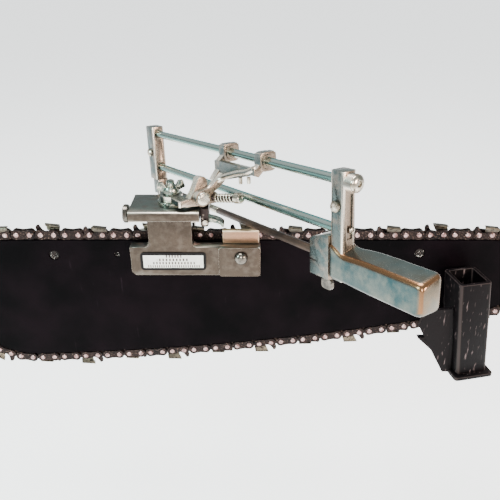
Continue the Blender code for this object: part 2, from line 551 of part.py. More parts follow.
cut(yoke, bore("yoke_left_bore", rail, D, EYES[0][0] - 1, EYES[0][1] + 1, BUSH_R, play=0.2),
    bore("yoke_right_bore", rail, D, EYES[1][0] - 1, EYES[1][1] + 1, BUSH_R, play=0.2),
    bore("yoke_hinge_bore", hinge, D, NEAR_S0 - 2, NEAR_S1 + 2, PIN_R, steps=20))
bush_in = (ROD_R + RUN) / math.cos(math.pi / 24)
for n, (a, b) in zip(("bushing_left", "bushing_right"), EYES):
    make(n, lathe([(bush_in, a - 1.3), (6.2, a - 1.3), (6.2, a - GAP), (BUSH_R, a - GAP), (BUSH_R, b + 0.8),
                   (bush_in, b + 0.8)], rail, D, 24, closed=True), "bronze")

# ---------------------------------------------------------------- file frame
HOLD = rail
for n, h in (("upper_rod", UPPER_H), ("lower_rod", LOWER_H)):
    lo, hi = LEFT_S0 + 2, RIGHT_S1 - 2
    make(n, lathe([(0, lo), (ROD_R - 0.5, lo), (ROD_R, lo + 0.5), (ROD_R, hi - 0.5), (ROD_R - 0.5, hi), (0, hi)],
                  frame(0, 0, h), D), "bright", pivot=HOLD)
left = make("left_post", fbox(LEFT_S0, -6, 9.0, LEFT_S1, 5.5, POST_H1, 2.0), "cast", pivot=HOLD)
right = make("right_post", fbox(RIGHT_S0, -6, -11, RIGHT_S1, 4.6, POST_H1, 1.8), "cast", pivot=HOLD)
join(right, make("right_post_boss", rod(frame(0, 0, UPPER_H), D, RIGHT_S1 - 1, RIGHT_S1 + 5, 5.6)))
SCREWS = (("left_post_screw", -138.5, -6.0, 34.0, left), ("right_post_screw", 116.0, -6.0, 36.5, right))
for post, nm, s0, s1 in ((left, "left", LEFT_S0 - 1, LEFT_S1 + 1), (right, "right", RIGHT_S0 - 1, RIGHT_S1 - 1.7)):
    cut(post, *[bore(f"{nm}_{k}_rod_bore", frame(0, 0, h), D, s0, s1, ROD_R, play=0.2)
                for k, h in (("upper", UPPER_H), ("lower", LOWER_H))])
cut(left, make("left_groove", fbox(LEFT_S1 - 1.2, -2.2, 26, LEFT_S1 + 2, 2.2, 45)))
cut(right, make("right_groove", fbox(RIGHT_S1 - 1.2, -2.4, 16, RIGHT_S1 + 2, 1.8, 44)))
for n, s, face, h, post in SCREWS:
    at = frame(s, face, h)
    cut(post, bore(n + "_bore", at, N, -2, 4.3, 2.0, play=0.2, steps=16))
    make(n, lathe([(0, -3.0), (2.6, -2.8), (3.6, -1.8), (3.6, -GAP), (2.0, -GAP), (2.0, 4), (0, 4)], at, N, 16),
         "dark_steel", pivot=HOLD)

rear_clamp = make("rear_file_clamp", fbox(-142, -5.2, -4.6, -130, 5.2, 8.7, 1.6), "cast", pivot=HOLD)
front_shape = [(92.7, -12.6), (RIGHT_S0 - GAP, -12.6), (RIGHT_S0 - GAP, 16.5), (104.5, 16.0), (98.0, 13.8), (94.0, 12.0),
               (92.7, 10.2)]
front_clamp = make("front_file_clamp", prism(front_shape, D, W, N, -7.0, 5.0, at=FRAME_AT), "cast", pivot=HOLD)
axis_file = frame(0, 0, 0)
for post, n, s0, s1, s, low in ((rear_clamp, "rear_file", -140.0, -127, -136.0, -4.6),
                                (front_clamp, "front_file", 89, 107.0, 102.0, -12.6)):
    cut(post, bore(n + "_bore", axis_file, D, s0, s1, FILE_R),
        bore(n + "_screw_bore", frame(s, 0, 0), W, low - 2, 0, 2.5, steps=16))
    at = frame(s, 0, low)
    tip = -FILE_R - GAP - low
    key = make(n + "_screw", lathe([(0, tip), (2.5, tip), (2.5, -GAP), (4, -GAP), (4, -3.0), (2.6, -4), (0, -4)], at, W,
                                   16), "bright", pivot=at)
    join(key, make(n + "_key", prism(rounded(-4.6, -10.5, 4.6, -3.2, 2.2), D, W, N, -1.3, 1.3, at=at)))
cut(front_clamp, make("clamp_slit", fbox(90, -9, -3.7, 98.6, 7, -2.3)))

grip = []
for s, h0, h1, w in ((RIGHT_S1 + GAP, -10.6, 9.6, 6.4), (130, -10.8, 11.4, 7.6), (152, -10.8, 12.0, 8.4),
                     (HANDLE_END - 3.5, -10.6, 12.2, 8.4), (HANDLE_END, -8.8, 10.4, 6.8)):
    grip.append((s, rounded(-w, h0, w, h1, 3.6, 3)))
bm = bmesh.new()
rings = [[bm.verts.new(frame(s, a, b)) for a, b in pts] for s, pts in grip]
for a, b in zip(rings, rings[1:]):
    for i in range(len(a)):
        j = (i + 1) % len(a)
        bm.faces.new((a[i], a[j], b[j], b[i]))
bm.faces.new(rings[0])
bm.faces.new(rings[-1])
make("handle", bm, "cast", pivot=HOLD)

FILE_AT = frame(0, 0, 0)
for n, lo, hi, colour in (("file_shank", -139.7, FERRULE_S0 - GAP, "file_dark"), ("file_ferrule", FERRULE_S0, FERRULE_S1, "bright"),
                          ("round_file", FERRULE_S1 + GAP, 106.7, "file_dark")):
    make(n, lathe([(0, lo), (FILE_R, lo), (FILE_R, hi), (0, hi)], FILE_AT, D), colour, pivot=FILE_AT)
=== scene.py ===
# %% [markdown]
# A saw-chain filing guide, clamped on a guide bar that stands in a vise post. The moving frame is
# already worked out as a CAD model, so this file only gives it its looks. We load that model first.
# Every length below is in millimetres, measured from the chain's rivet line above the bar's middle,
# and ORIGIN says where the foot of the vise post lies from that point.

# %% Load the frame
import json
import math

import bmesh
import bpy
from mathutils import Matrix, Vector

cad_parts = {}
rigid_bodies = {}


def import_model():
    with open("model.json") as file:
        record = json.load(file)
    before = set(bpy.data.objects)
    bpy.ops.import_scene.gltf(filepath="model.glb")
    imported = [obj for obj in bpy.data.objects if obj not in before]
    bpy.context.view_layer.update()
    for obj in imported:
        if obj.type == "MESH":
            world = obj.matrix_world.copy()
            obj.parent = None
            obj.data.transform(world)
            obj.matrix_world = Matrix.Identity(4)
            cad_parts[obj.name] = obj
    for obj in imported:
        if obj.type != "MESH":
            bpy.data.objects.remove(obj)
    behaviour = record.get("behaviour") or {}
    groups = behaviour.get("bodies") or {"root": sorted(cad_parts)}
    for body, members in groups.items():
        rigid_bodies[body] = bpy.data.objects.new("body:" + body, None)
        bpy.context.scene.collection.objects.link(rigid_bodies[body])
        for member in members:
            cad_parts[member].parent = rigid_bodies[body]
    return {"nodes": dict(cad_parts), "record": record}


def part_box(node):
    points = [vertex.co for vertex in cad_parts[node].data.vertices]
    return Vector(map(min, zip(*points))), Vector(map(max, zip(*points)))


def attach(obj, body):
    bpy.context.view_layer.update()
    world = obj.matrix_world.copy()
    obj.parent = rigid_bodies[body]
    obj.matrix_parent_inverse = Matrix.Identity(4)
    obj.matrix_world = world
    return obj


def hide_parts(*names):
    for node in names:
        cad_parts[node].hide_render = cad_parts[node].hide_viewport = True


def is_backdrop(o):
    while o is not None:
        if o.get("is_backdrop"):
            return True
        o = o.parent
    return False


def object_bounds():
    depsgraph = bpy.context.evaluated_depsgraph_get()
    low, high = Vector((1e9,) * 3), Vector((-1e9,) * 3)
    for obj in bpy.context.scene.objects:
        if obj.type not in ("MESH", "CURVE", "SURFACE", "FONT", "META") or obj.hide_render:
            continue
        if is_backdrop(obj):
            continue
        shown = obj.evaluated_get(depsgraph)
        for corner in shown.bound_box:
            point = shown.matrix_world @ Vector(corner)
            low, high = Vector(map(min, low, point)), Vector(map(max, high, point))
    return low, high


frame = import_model()
whole_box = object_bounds()
MM = 0.001
ORIGIN = Vector((179.5, -22.5, -113.0))
X, Y, Z = Vector((1, 0, 0)), Vector((0, 1, 0)), Vector((0, 0, 1))
BODY_OF = {name: body for body, names in frame["record"]["behaviour"]["bodies"].items() for name in names}

# %% [markdown]
# The file frame hangs at an angle to the chain: 35 degrees away from square, rising a little towards
# the handle. Three directions describe it, so that anything on it can be placed with plain numbers:
# s along the file, n across it and h up from the file's own axis.

# %% Directions of the file frame
AZIMUTH, RISE, ROLL = math.radians(-55.3), math.radians(7.5), math.radians(-2.3)
FILE_AT = Vector((-8.1, 0.0, 12.8))
D = Vector((math.cos(AZIMUTH) * math.cos(RISE), math.sin(AZIMUTH) * math.cos(RISE), math.sin(RISE)))
LEVEL = Vector((-math.sin(AZIMUTH), math.cos(AZIMUTH), 0.0))
N = LEVEL * math.cos(ROLL) + D.cross(LEVEL) * math.sin(ROLL)
W = D.cross(N)


def on_frame(s, n, h):
    """A point of the file frame, in millimetres from the rivet line."""
    return FILE_AT + D * s + N * n + W * h


def place(point):
    """The same point in the scene's metres."""
    return (point - ORIGIN) * MM


print("file direction", tuple(round(v, 3) for v in D))

# %% [markdown]
# The camera looks down at the bar from the front. Its height and tilt were found from how the rows of
# rivets and the rods close up with distance. `show` puts an object into the scene, which every object
# made by a script needs.


# %% Camera
def show(obj):
    bpy.context.scene.collection.objects.link(obj)
    return obj


camera_data = bpy.data.cameras.new("camera")
camera_data.lens = 41.4
camera = show(bpy.data.objects.new("camera", camera_data))
camera.location = (-0.1795, -0.382, 0.3137)
camera.rotation_euler = (math.radians(62), 0, 0)
bpy.context.scene.camera = camera
print("camera", tuple(camera.location))

# %% [markdown]
# Every look and every repeated part below is a tree of nodes. Adding a node and wiring it up takes
# several lines, so `node` does it in one call: it fills each socket with a constant or with a link from
# another node. The other helpers wrap the four nodes that are needed most.


# %% Helpers for node trees
def node(tree, kind, settings=None, **sockets):
    """Adds a node; sockets go by name, with _ for a space, or by number as i0, i1 and so on."""
    made = tree.nodes.new(kind)
    for key, value in (settings or {}).items():
        setattr(made, key, value)
    for key, value in sockets.items():
        numbered = key[0] == "i" and key[1:].isdigit()
        socket = made.inputs[int(key[1:]) if numbered else key.replace("_", " ")]
        if isinstance(value, bpy.types.NodeSocket):
            tree.links.new(value, socket)
        else:
            socket.default_value = value
    return made


def math_node(tree, kind, a, b=0.0):
    return node(tree, 'ShaderNodeMath', {"operation": kind}, i0=a, i1=b).outputs[0]


def mapped(tree, value, from_min, from_max, to_min=0.0, to_max=1.0):
    """A value stretched from one range to another, and held inside it."""
    return node(tree, 'ShaderNodeMapRange', Value=value, From_Min=from_min, From_Max=from_max,
                To_Min=to_min, To_Max=to_max).outputs["Result"]


def colour_ramp(tree, value, *stops):
    """A run between two colours; each stop is a position and a colour."""
    ramp = node(tree, 'ShaderNodeValToRGB', Fac=value)
    for element, (position, colour) in zip(ramp.color_ramp.elements, stops):
        element.position, element.color = position, (*colour, 1)
    return ramp.outputs["Color"]


def blended(tree, kind, share, a, b):
    """Two colours mixed; each is a socket or a constant."""
    a, b = (c if isinstance(c, bpy.types.NodeSocket) else (*c, 1) for c in (a, b))
    settings = {"data_type": 'RGBA', "blend_type": kind}
    return node(tree, 'ShaderNodeMix', settings, i0=share, i6=a, i7=b).outputs[2]


print("node helpers ready")

# %% [markdown]
# The stage is a pale floor well below the tool, so no hard shadow touches it. It glows a little, which
# keeps it an even pale grey. Four soft lamps do the rest: a large neutral one overhead, a cool one on
# the left, a warm one on the right and a weak one in front. Satin metal has hardly any colour of its
# own, so the two tints, together with the painted light and shade in the finishes below, are what make its
# faces read differently.

# %% Floor, lamps and sky
MIDDLE = (-0.18, 0.02, 0.1)


def soft_lamp(name, at, size, power, colour):
    """A round lamp that points at the middle of the tool."""
    lamp = bpy.data.lights.new(name, 'AREA')
    lamp.shape = 'DISK'
    lamp.size, lamp.energy, lamp.color = size, power, colour
    obj = show(bpy.data.objects.new(name, lamp))
    obj.location = at
    obj.rotation_euler = (Vector(MIDDLE) - Vector(at)).to_track_quat('-Z', 'Y').to_euler()


soft_lamp("overhead_lamp", (-0.3, 0.1, 1.4), 0.9, 34, (1.0, 0.99, 0.97))
soft_lamp("cool_lamp", (-1.1, -0.6, 0.7), 0.5, 16, (0.62, 0.95, 0.95))
soft_lamp("warm_lamp", (0.7, -0.8, 0.45), 0.35, 14, (1.0, 0.80, 0.66))
soft_lamp("front_lamp", (-0.15, -1.3, 0.6), 0.5, 10, (1.0, 0.95, 0.9))
world = bpy.data.worlds.new("sky")
bpy.context.scene.world = world
world.use_nodes = True
sky_tree = world.node_tree
direction = node(sky_tree, 'ShaderNodeTexCoord').outputs["Generated"]
height = node(sky_tree, 'ShaderNodeSeparateXYZ', Vector=direction).outputs["Z"]
sky_colour = colour_ramp(sky_tree, height, (0.0, (0.42, 0.49, 0.50)), (0.8, (0.80, 0.90, 0.92)))
sky_tree.links.new(sky_colour, sky_tree.nodes["Background"].inputs["Color"])
sky_tree.nodes["Background"].inputs["Strength"].default_value = 0.8

FLOOR_HALF, FLOOR_Z = 90, -0.2  # metres
floor_mesh = bpy.data.meshes.new("floor")
corners = [(x * FLOOR_HALF, y * FLOOR_HALF, FLOOR_Z) for x, y in ((-1, -1), (1, -1), (1, 1), (-1, 1))]
floor_mesh.from_pydata(corners, [], [(0, 1, 2, 3)])
floor = show(bpy.data.objects.new("floor", floor_mesh))
floor_paint = bpy.data.materials.new("pale_floor")
floor_paint.use_nodes = True
floor_shader = floor_paint.node_tree.nodes["Principled BSDF"].inputs
floor_shader["Base Color"].default_value = (0.93, 0.93, 0.93, 1)
floor_shader["Roughness"].default_value = 0.9
floor_shader["Specular IOR Level"].default_value = 0.0
floor_shader["Emission Color"].default_value = (1, 1, 1, 1)
floor_shader["Emission Strength"].default_value = 1.4
floor_mesh.materials.append(floor_paint)
floor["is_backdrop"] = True
print("stage set")

# %% [markdown]
# Finishes come next. Each is a small node tree on a Principled shader, and they all share one pattern.
# A slow noise shifts the colour, as handling and oil do. A fast noise becomes bump and uneven gloss, as
# casting grain or brushing does. A third one, cut off above a level, marks worn or chipped spots. The
# castings and rods also carry painted light and shade on each side: the surface's direction, measured
# along the piece's own three axes, picks a tint, warm or cool where a lamp would light it and dark where
# it looks down. Where no axis is nearly square on, the surface is a rounded edge, which gets a painted
# highlight. The noises read Object coordinates in metres, so a scale of 1000 means
# a grain about a millimetre wide.

# %% A helper for finishes
BUMP_HEIGHT = 0.0002  # metres
PATCH_LOW, PATCH_HIGH = 0.36, 0.66  # the slow noise where a patch has its first and its second colour
GRAIN_LOW, GRAIN_HIGH = 0.35, 0.65  # the same for the fast noise, from dark to light
GLOSSIER, DULLER = 0.1, 0.12  # how far the grain moves the roughness down and up
# How strongly the painted light and shade of each side covers the colour.
SIDE_LIGHT_SHARE = 0.68
EDGE_STARTS, EDGE_FULL = 0.985, 0.88  # how square on the nearest axis is where the painted edge highlight begins and is full
UNDER_NONE, UNDER_FULL = 0.3, 0.1  # how far an edge looks down where its painted highlight is gone and where it is still full
SIX = [(0, 1), (0, -1), (1, 1), (1, -1), (2, 1), (2, -1)]  # both ways along each of three axes


def linear(r, g, b):
    """A screen colour, 0 to 255, as the linear values that shaders take."""
    return tuple((c / 255 / 12.92) if c < 11 else ((c / 255 + 0.055) / 1.055) ** 2.4 for c in (r, g, b))


def finish(name, low, high, metal, rough, grain=900.0, bump=0.15, stretch=(1, 1, 1), worn=None,
           worn_share=0.62, worn_scale=160.0, patch_scale=45.0, turn=(0, 0, 0), shine=0.5,
           side_light_tints=None, edge=None, axes=None, speckle=0.25, soft=0.03, edge_above=False):
    """A finish between two screen colours, with grain, uneven gloss, worn spots, painted light and shade on
    each side and a painted edge highlight.

    grain, patch_scale and worn_scale are the scales of the fast, the slow and the third noise. Worn
    spots show above worn_share and reach their full colour soft further on. stretch and turn draw the
    grain out in one direction. The six tints of painted light and shade go to the faces towards + and -
    of each of the three axes in turn. edge is the colour of the painted highlight on rounded edges; with
    edge_above, no edge that looks down gets it.
    """
    low, high, worn, edge = (colour and linear(*colour) for colour in (low, high, worn, edge))
    mat = bpy.data.materials.new(name)
    mat.use_nodes = True
    tree = mat.node_tree
    shader = tree.nodes["Principled BSDF"].inputs
    shader["Metallic"].default_value = metal
    shader["Specular IOR Level"].default_value = shine
    where = node(tree, 'ShaderNodeTexCoord').outputs
    brushed = node(tree, 'ShaderNodeMapping', Vector=where["Object"], Scale=stretch, Rotation=turn).outputs[0]

    def noise(scale, detail, source):
        return node(tree, 'ShaderNodeTexNoise', Scale=scale, Detail=detail, Vector=source).outputs["Fac"]

    def facing_share(axis, sign):
        """How squarely the surface faces a direction of its own piece: 1 square on, 0 across or behind."""
        dot = node(tree, 'ShaderNodeVectorMath', {"operation": 'DOT_PRODUCT'},
                   i0=where["Normal"], i1=axis * sign)
        return math_node(tree, 'MAXIMUM', dot.outputs["Value"], 0.0)

    fine = noise(grain, 3, brushed)
    patches = noise(patch_scale, 4, where["Object"])
    colour = colour_ramp(tree, patches, (PATCH_LOW, low), (PATCH_HIGH, high))
    # Painted light and shade: each of the six sides gets its own tint, lighter where the lamps would fall and
    # darkest on faces that look down.
    if side_light_tints:
        total, square = None, None
        for (axis_number, sign), tint in zip(SIX, side_light_tints):
            share = facing_share(axes[axis_number], sign)
            squared = math_node(tree, 'POWER', share, 2.0)
            part = blended(tree, 'MIX', squared, (0.0, 0.0, 0.0), linear(*tint))
            total = part if total is None else blended(tree, 'ADD', 1.0, total, part)
            square = share if square is None else math_node(tree, 'MAXIMUM', square, share)
        colour = blended(tree, 'MIX', SIDE_LIGHT_SHARE, colour, total)
    dim = mapped(tree, fine, GRAIN_LOW, GRAIN_HIGH, 1.0 - speckle, 1.0)
    grey = node(tree, 'ShaderNodeCombineColor', i0=dim, i1=dim, i2=dim).outputs["Color"]
    colour = blended(tree, 'MULTIPLY', 1.0, colour, grey)
    if worn:
        spots = mapped(tree, noise(worn_scale, 6, brushed), worn_share, worn_share + soft)
        colour = blended(tree, 'MIX', spots, colour, worn)
    # Painted highlight: where no axis is nearly square on, a rounded edge is coloured as if it caught the
    # light.
    if edge:
        highlight_share = mapped(tree, square, EDGE_STARTS, EDGE_FULL)
        if edge_above:
            not_under = mapped(tree, facing_share(axes[2], -1), UNDER_NONE, UNDER_FULL)
            highlight_share = math_node(tree, 'MULTIPLY', highlight_share, not_under)
        colour = blended(tree, 'MIX', highlight_share, colour, edge)
    gloss = mapped(tree, fine, 0.0, 1.0, max(0.05, rough - GLOSSIER), rough + DULLER)
    tree.links.new(colour, shader["Base Color"])
    tree.links.new(gloss, shader["Roughness"])
    rise = node(tree, 'ShaderNodeBump', Strength=bump, Distance=BUMP_HEIGHT, Height=fine)
    tree.links.new(rise.outputs["Normal"], shader["Normal"])
    return mat


# %% Axes of the frame, the clamp and the leaning post
FRAME_AXES, BLOCK_AXES = (D, N, W), (X, Y, Z)
POST_UP = Vector((-11.5, 0.0, 88.0)).normalized()
POST_TURN = math.radians(12)
POST_SIDE = POST_UP.cross(Vector((-math.sin(POST_TURN), math.cos(POST_TURN), 0.0))).normalized()
POST_AXES = (POST_SIDE, POST_UP.cross(POST_SIDE), POST_UP)
print("post leans along", tuple(round(v, 3) for v in POST_UP))

# %% Castings
# In the castings below, the six side tints are painted light and shade: warm on the faces the warm lamp
# lights, teal-grey on those the cool lamp lights, pale on top and near black underneath. The edge colour is a
# painted highlight; on the handle it is a brown line along the upper edges.
CAST = finish("satin_frame_casting", (78, 86, 84), (124, 112, 102), 0.93, 0.28, grain=1100,
              bump=0.35, patch_scale=130, axes=FRAME_AXES, edge=(250, 236, 220), speckle=0.3,
              side_light_tints=((162, 140, 122), (86, 80, 74), (80, 74, 70), (78, 96, 97), (140, 146, 140),
                       (36, 32, 32)),
              worn=(140, 126, 114), worn_share=0.5, worn_scale=140, soft=0.3)
HANDLE = finish("handle_casting_finish", (36, 52, 54), (116, 112, 102), 0.95, 0.22, grain=1400,
                bump=0.05, patch_scale=90, axes=FRAME_AXES, edge=(132, 96, 68), edge_above=True,
                speckle=0.12, worn=(104, 106, 98), worn_share=0.44, worn_scale=120, soft=0.3,
                side_light_tints=((138, 120, 100), (80, 80, 76), (66, 72, 72), (48, 76, 80), (116, 132, 130),
                         (32, 30, 30)))
BLOCK = finish("clamp_casting", (56, 52, 48), (86, 76, 68), 0.95, 0.3, grain=2400, bump=0.3,
               patch_scale=80, axes=BLOCK_AXES, edge=(252, 238, 222), speckle=0.3,
               side_light_tints=((74, 62, 54), (96, 106, 102), (76, 70, 66), (76, 64, 55), (112, 122, 116),
                        (28, 24, 24)),
               worn=(92, 82, 74), worn_share=0.46, worn_scale=200, soft=0.35)
BRONZE = finish("bronze_block", (150, 108, 82), (196, 160, 128), 0.9, 0.38, grain=1400, bump=0.3,
                axes=BLOCK_AXES, edge=(228, 204, 174),
                side_light_tints=((120, 80, 56), (120, 80, 56), (100, 70, 50), (176, 134, 108), (200, 176, 138),
                         (60, 38, 28)))
print("castings:", len(bpy.data.materials), "materials so far")

# %% Rods, screws and plating
# The rod's teal is a painted reflection, and its side tints are painted light and shade: bright teal on top,
# near black underneath. The edge colour is a painted highlight.
ROD = finish("ground_rod", (50, 134, 136), (86, 152, 150), 1.0, 0.18, grain=700, bump=0.06,
             axes=FRAME_AXES, edge=(206, 216, 206), speckle=0.1,
             side_light_tints=((110, 110, 100), (110, 110, 100), (24, 34, 34), (96, 112, 104), (36, 184, 190),
                      (16, 16, 15)))
BRIGHT = finish("worn_plating", (158, 146, 130), (228, 218, 202), 1.0, 0.2, grain=1500,
                patch_scale=330, worn=(92, 78, 66), worn_share=0.56, worn_scale=420, soft=0.2)
DOME = finish("domed_screw_steel", (82, 78, 74), (136, 128, 118), 1.0, 0.2, grain=1500,
              bump=0.1, patch_scale=200)
SPRING = finish("spring_wire_steel", (196, 186, 170), (236, 226, 210), 1.0, 0.24, grain=1500,
                bump=0.1)
TEAL = finish("tinted_plating", (74, 94, 88), (150, 154, 142), 0.94, 0.24, grain=1300,
              patch_scale=260, worn=(206, 198, 180), worn_share=0.5, worn_scale=500, soft=0.14)
BRASS = finish("brass", (150, 98, 34), (208, 160, 80), 1.0, 0.3, grain=1200, bump=0.12)
DARK = finish("dark_steel", (26, 20, 20), (60, 50, 48), 0.9, 0.38, grain=1300,
              worn=(140, 126, 116), worn_share=0.56, worn_scale=500, soft=0.12)
FILE = finish("file_steel", (36, 26, 22), (88, 68, 56), 0.7, 0.4, grain=2600, bump=0.5)
print("rods and screws:", len(bpy.data.materials), "materials so far")

# %% Chain, bar and painted post
CHAIN = finish("oiled_chain_steel", (14, 8, 9), (36, 24, 22), 0.7, 0.42, grain=1600, bump=0.2,
               shine=0.3, worn=(104, 84, 74), worn_share=0.56, worn_scale=900, soft=0.12)
CUTTER = finish("cutter_steel", (70, 64, 56), (126, 116, 100), 0.9, 0.34, grain=1500, bump=0.2,
                worn=(34, 28, 26), worn_share=0.52, worn_scale=600, soft=0.1)
RIVET = finish("rivet_steel", (140, 104, 100), (222, 190, 186), 0.95, 0.28, grain=1800, bump=0.2,
               patch_scale=400)
BAR = finish("bar_black", (2, 1, 2), (13, 6, 10), 0.0, 0.55, grain=1200, shine=0.03,
             stretch=(1.8, 1, 0.16), turn=(0, 0.12, 0), worn=(30, 22, 27), worn_share=0.66,
             worn_scale=200, soft=0.12, patch_scale=30)
# The edge colour is a painted highlight along the post's rounded edges; its six side tints are all one and the
# same colour.
PAINT = finish("chipped_black_paint", (2, 1, 2), (12, 7, 9), 0.0, 0.5, grain=700, bump=0.4,
               shine=0.08, stretch=(2.6, 2.6, 0.5), turn=(0.35, 0.5, 0.2), worn=(104, 90, 90),
               worn_share=0.63, worn_scale=210, patch_scale=60, soft=0.1, axes=POST_AXES,
               edge=(50, 42, 41), side_light_tints=[(7, 4, 6)] * len(SIX))
GRIME = finish("packed_grime", (10, 8, 8), (48, 42, 40), 0.0, 0.7, grain=1500, bump=0.8,
               shine=0.15, patch_scale=600, worn=(206, 196, 190), worn_share=0.6, worn_scale=900,
               soft=0.05)
print("finishes:", len(bpy.data.materials))

# %% [markdown]
# The label is a printed plate: a black border round a pale panel. Printing is colour on a flat face,
# so it belongs in the material. Comparing the Object coordinates with the panel's edges gives a mask,
# and rows of small ticks fill the panel, as plain marks that say nothing.

# %% Label finish
BORDER, TICK_HALF = 0.0021, 0.00105  # metres, as all of the label's sizes are
INK_SHARE, TICK_LEVEL = 0.95, 0.1  # how strong the ink is, and the part of a wave that is inked
TICK_ROWS = ((0.0045, 0.0065, 0.0022), (0.0016, 0.0125, 0.0026),  # height above the middle, half width, pitch
             (-0.0013, 0.0165, 0.0024), (-0.0041, 0.0205, 0.0017))


def label_finish(low, high):
    """Black border, pale panel and rows of ticks on the plate between two corners."""
    mat = bpy.data.materials.new("printed_label")
    mat.use_nodes = True
    tree = mat.node_tree
    shader = tree.nodes["Principled BSDF"].inputs
    shader["Specular IOR Level"].default_value = 0.12
    where = node(tree, 'ShaderNodeTexCoord').outputs["Object"]
    parts = node(tree, 'ShaderNodeSeparateXYZ', Vector=where).outputs
    x, z = parts["X"], parts["Z"]
    middle, half = (low + high) / 2, (high - low) / 2

    def within(value, centre, reach):
        """1 where a coordinate is nearer to a centre than its reach."""
        away = math_node(tree, 'ABSOLUTE', math_node(tree, 'SUBTRACT', value, centre))
        return math_node(tree, 'LESS_THAN', away, reach)

    inside = math_node(tree, 'MULTIPLY', within(x, middle.x, half.x - BORDER),
                       within(z, middle.z, half.z - BORDER))
    ink = None
    for rise, width, pitch in TICK_ROWS:
        row = math_node(tree, 'MULTIPLY', within(z, middle.z + rise, TICK_HALF), within(x, middle.x, width))
        wave = math_node(tree, 'SINE', math_node(tree, 'MULTIPLY', x, 2 * math.pi / pitch))
        mark = math_node(tree, 'MULTIPLY', row, math_node(tree, 'GREATER_THAN', wave, TICK_LEVEL))
        ink = mark if ink is None else math_node(tree, 'MAXIMUM', ink, mark)
    speck = node(tree, 'ShaderNodeTexNoise', Scale=300, Vector=where).outputs["Fac"]
    panel = colour_ramp(tree, speck, (0.0, linear(222, 214, 204)), (1.0, linear(250, 246, 240)))
    inked = blended(tree, 'MIX', math_node(tree, 'MULTIPLY', ink, INK_SHARE), panel, linear(58, 32, 30))
    tree.links.new(blended(tree, 'MIX', inside, linear(20, 16, 16), inked), shader["Base Color"])
    tree.links.new(mapped(tree, speck, 0.0, 1.0, 0.35, 0.6), shader["Roughness"])
    return mat


LABEL = label_finish(*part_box("label_plate"))

# %% [markdown]
# A few helpers make and place pieces. `piece` takes a finished mesh, gives it its finish, lets it ride
# on its body and hides the CAD nodes it stands in for. `skin` closes a body between loops of corners,
# `slab` makes a plate and `revolve` a turned shape, with enough steps to look round from close by.
# `settled` turns a modifier or a curve into a plain mesh.


def piece(name, mesh, material, nodes=(), body=None, sharp=35.0):
    """A finished mesh in metres becomes a piece that rides on a body."""
    mesh.materials.clear()
    mesh.materials.append(material)
    for polygon in mesh.polygons:
        polygon.use_smooth = True
    mesh.set_sharp_from_angle(angle=math.radians(sharp))
    obj = show(bpy.data.objects.new(name, mesh))
    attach(obj, body or BODY_OF[nodes[0]])
    if nodes:
        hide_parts(*nodes)
    return obj


def mesh_from(bm, name, put=place):
    """A bmesh in millimetres becomes a mesh in metres; put says where each corner goes."""
    bmesh.ops.recalc_face_normals(bm, faces=bm.faces)
    for v in bm.verts:
        v.co = put(v.co)
    mesh = bpy.data.meshes.new(name)
    bm.to_mesh(mesh)
    bm.free()
    return mesh


def settled(host):
    """The plain mesh that an object's modifiers or curve make; the object itself is taken away."""
    graph = bpy.context.evaluated_depsgraph_get()
    mesh = bpy.data.meshes.new_from_object(host.evaluated_get(graph))
    bpy.data.objects.remove(host)
    return mesh


# %% Shapes from loops of corners
def skin(bm, loops):
    """Closes a body between loops of corners: its two ends, then its sides."""
    bm.faces.new(loops[0])
    bm.faces.new(loops[-1])
    for a, b in zip(loops, loops[1:]):
        for i in range(len(a)):
            j = (i + 1) % len(a)
            bm.faces.new((a[i], a[j], b[j], b[i]))


def slab(bm, outline, y0, y1):
    """Adds a plate: an outline in (x, z) between two y planes."""
    skin(bm, [[bm.verts.new((x, y, z)) for x, z in outline] for y in (y0, y1)])


def across(axis):
    """Two directions square to an axis."""
    u = Z.cross(axis)
    u = X if u.length < 1e-6 else u.normalized()
    return u, axis.cross(u)


def revolve(bm, profile, at, axis, steps):
    """Adds a closed turned shape: (radius, distance) pairs that start and end on the axis."""
    u, v = across(axis)
    turns = [2 * math.pi * k / steps for k in range(steps)]
    rings = []
    for radius, t in profile:
        if radius == 0:
            rings.append([bm.verts.new(at + axis * t)])
        else:
            rings.append([bm.verts.new(at + axis * t + (u * math.cos(a) + v * math.sin(a)) * radius)
                          for a in turns])
    for a, b in zip(rings, rings[1:]):
        for k in range(steps):
            j = (k + 1) % steps
            if len(a) == 1:
                bm.faces.new((a[0], b[k], b[j]))
            elif len(b) == 1:
                bm.faces.new((a[k], a[j], b[0]))
            else:
                bm.faces.new((a[k], a[j], b[j], b[k]))


def turned(name, profile, at, axis, material, nodes=(), body=None, steps=48, sharp=35.0):
    """A turned piece: a profile revolved round an axis."""
    bm = bmesh.new()
    revolve(bm, profile, at, axis, steps)
    return piece(name, mesh_from(bm, name), material, nodes, body, sharp)


# %% [markdown]
# The castings have the right shape already, but every edge of a CAD solid is perfectly sharp, and a
# real casting has none that is. Light catches a small radius as a bright line, which is most of what
# makes metal look like metal. So each casting is copied, its triangles are merged back into whole
# faces, and a Bevel modifier rounds its edges by an amount that suits the piece.

# %% Rounded castings
SAME_PLACE, FLAT_ANGLE, BEVEL_ANGLE = 2e-6, math.radians(1.0), math.radians(30.0)


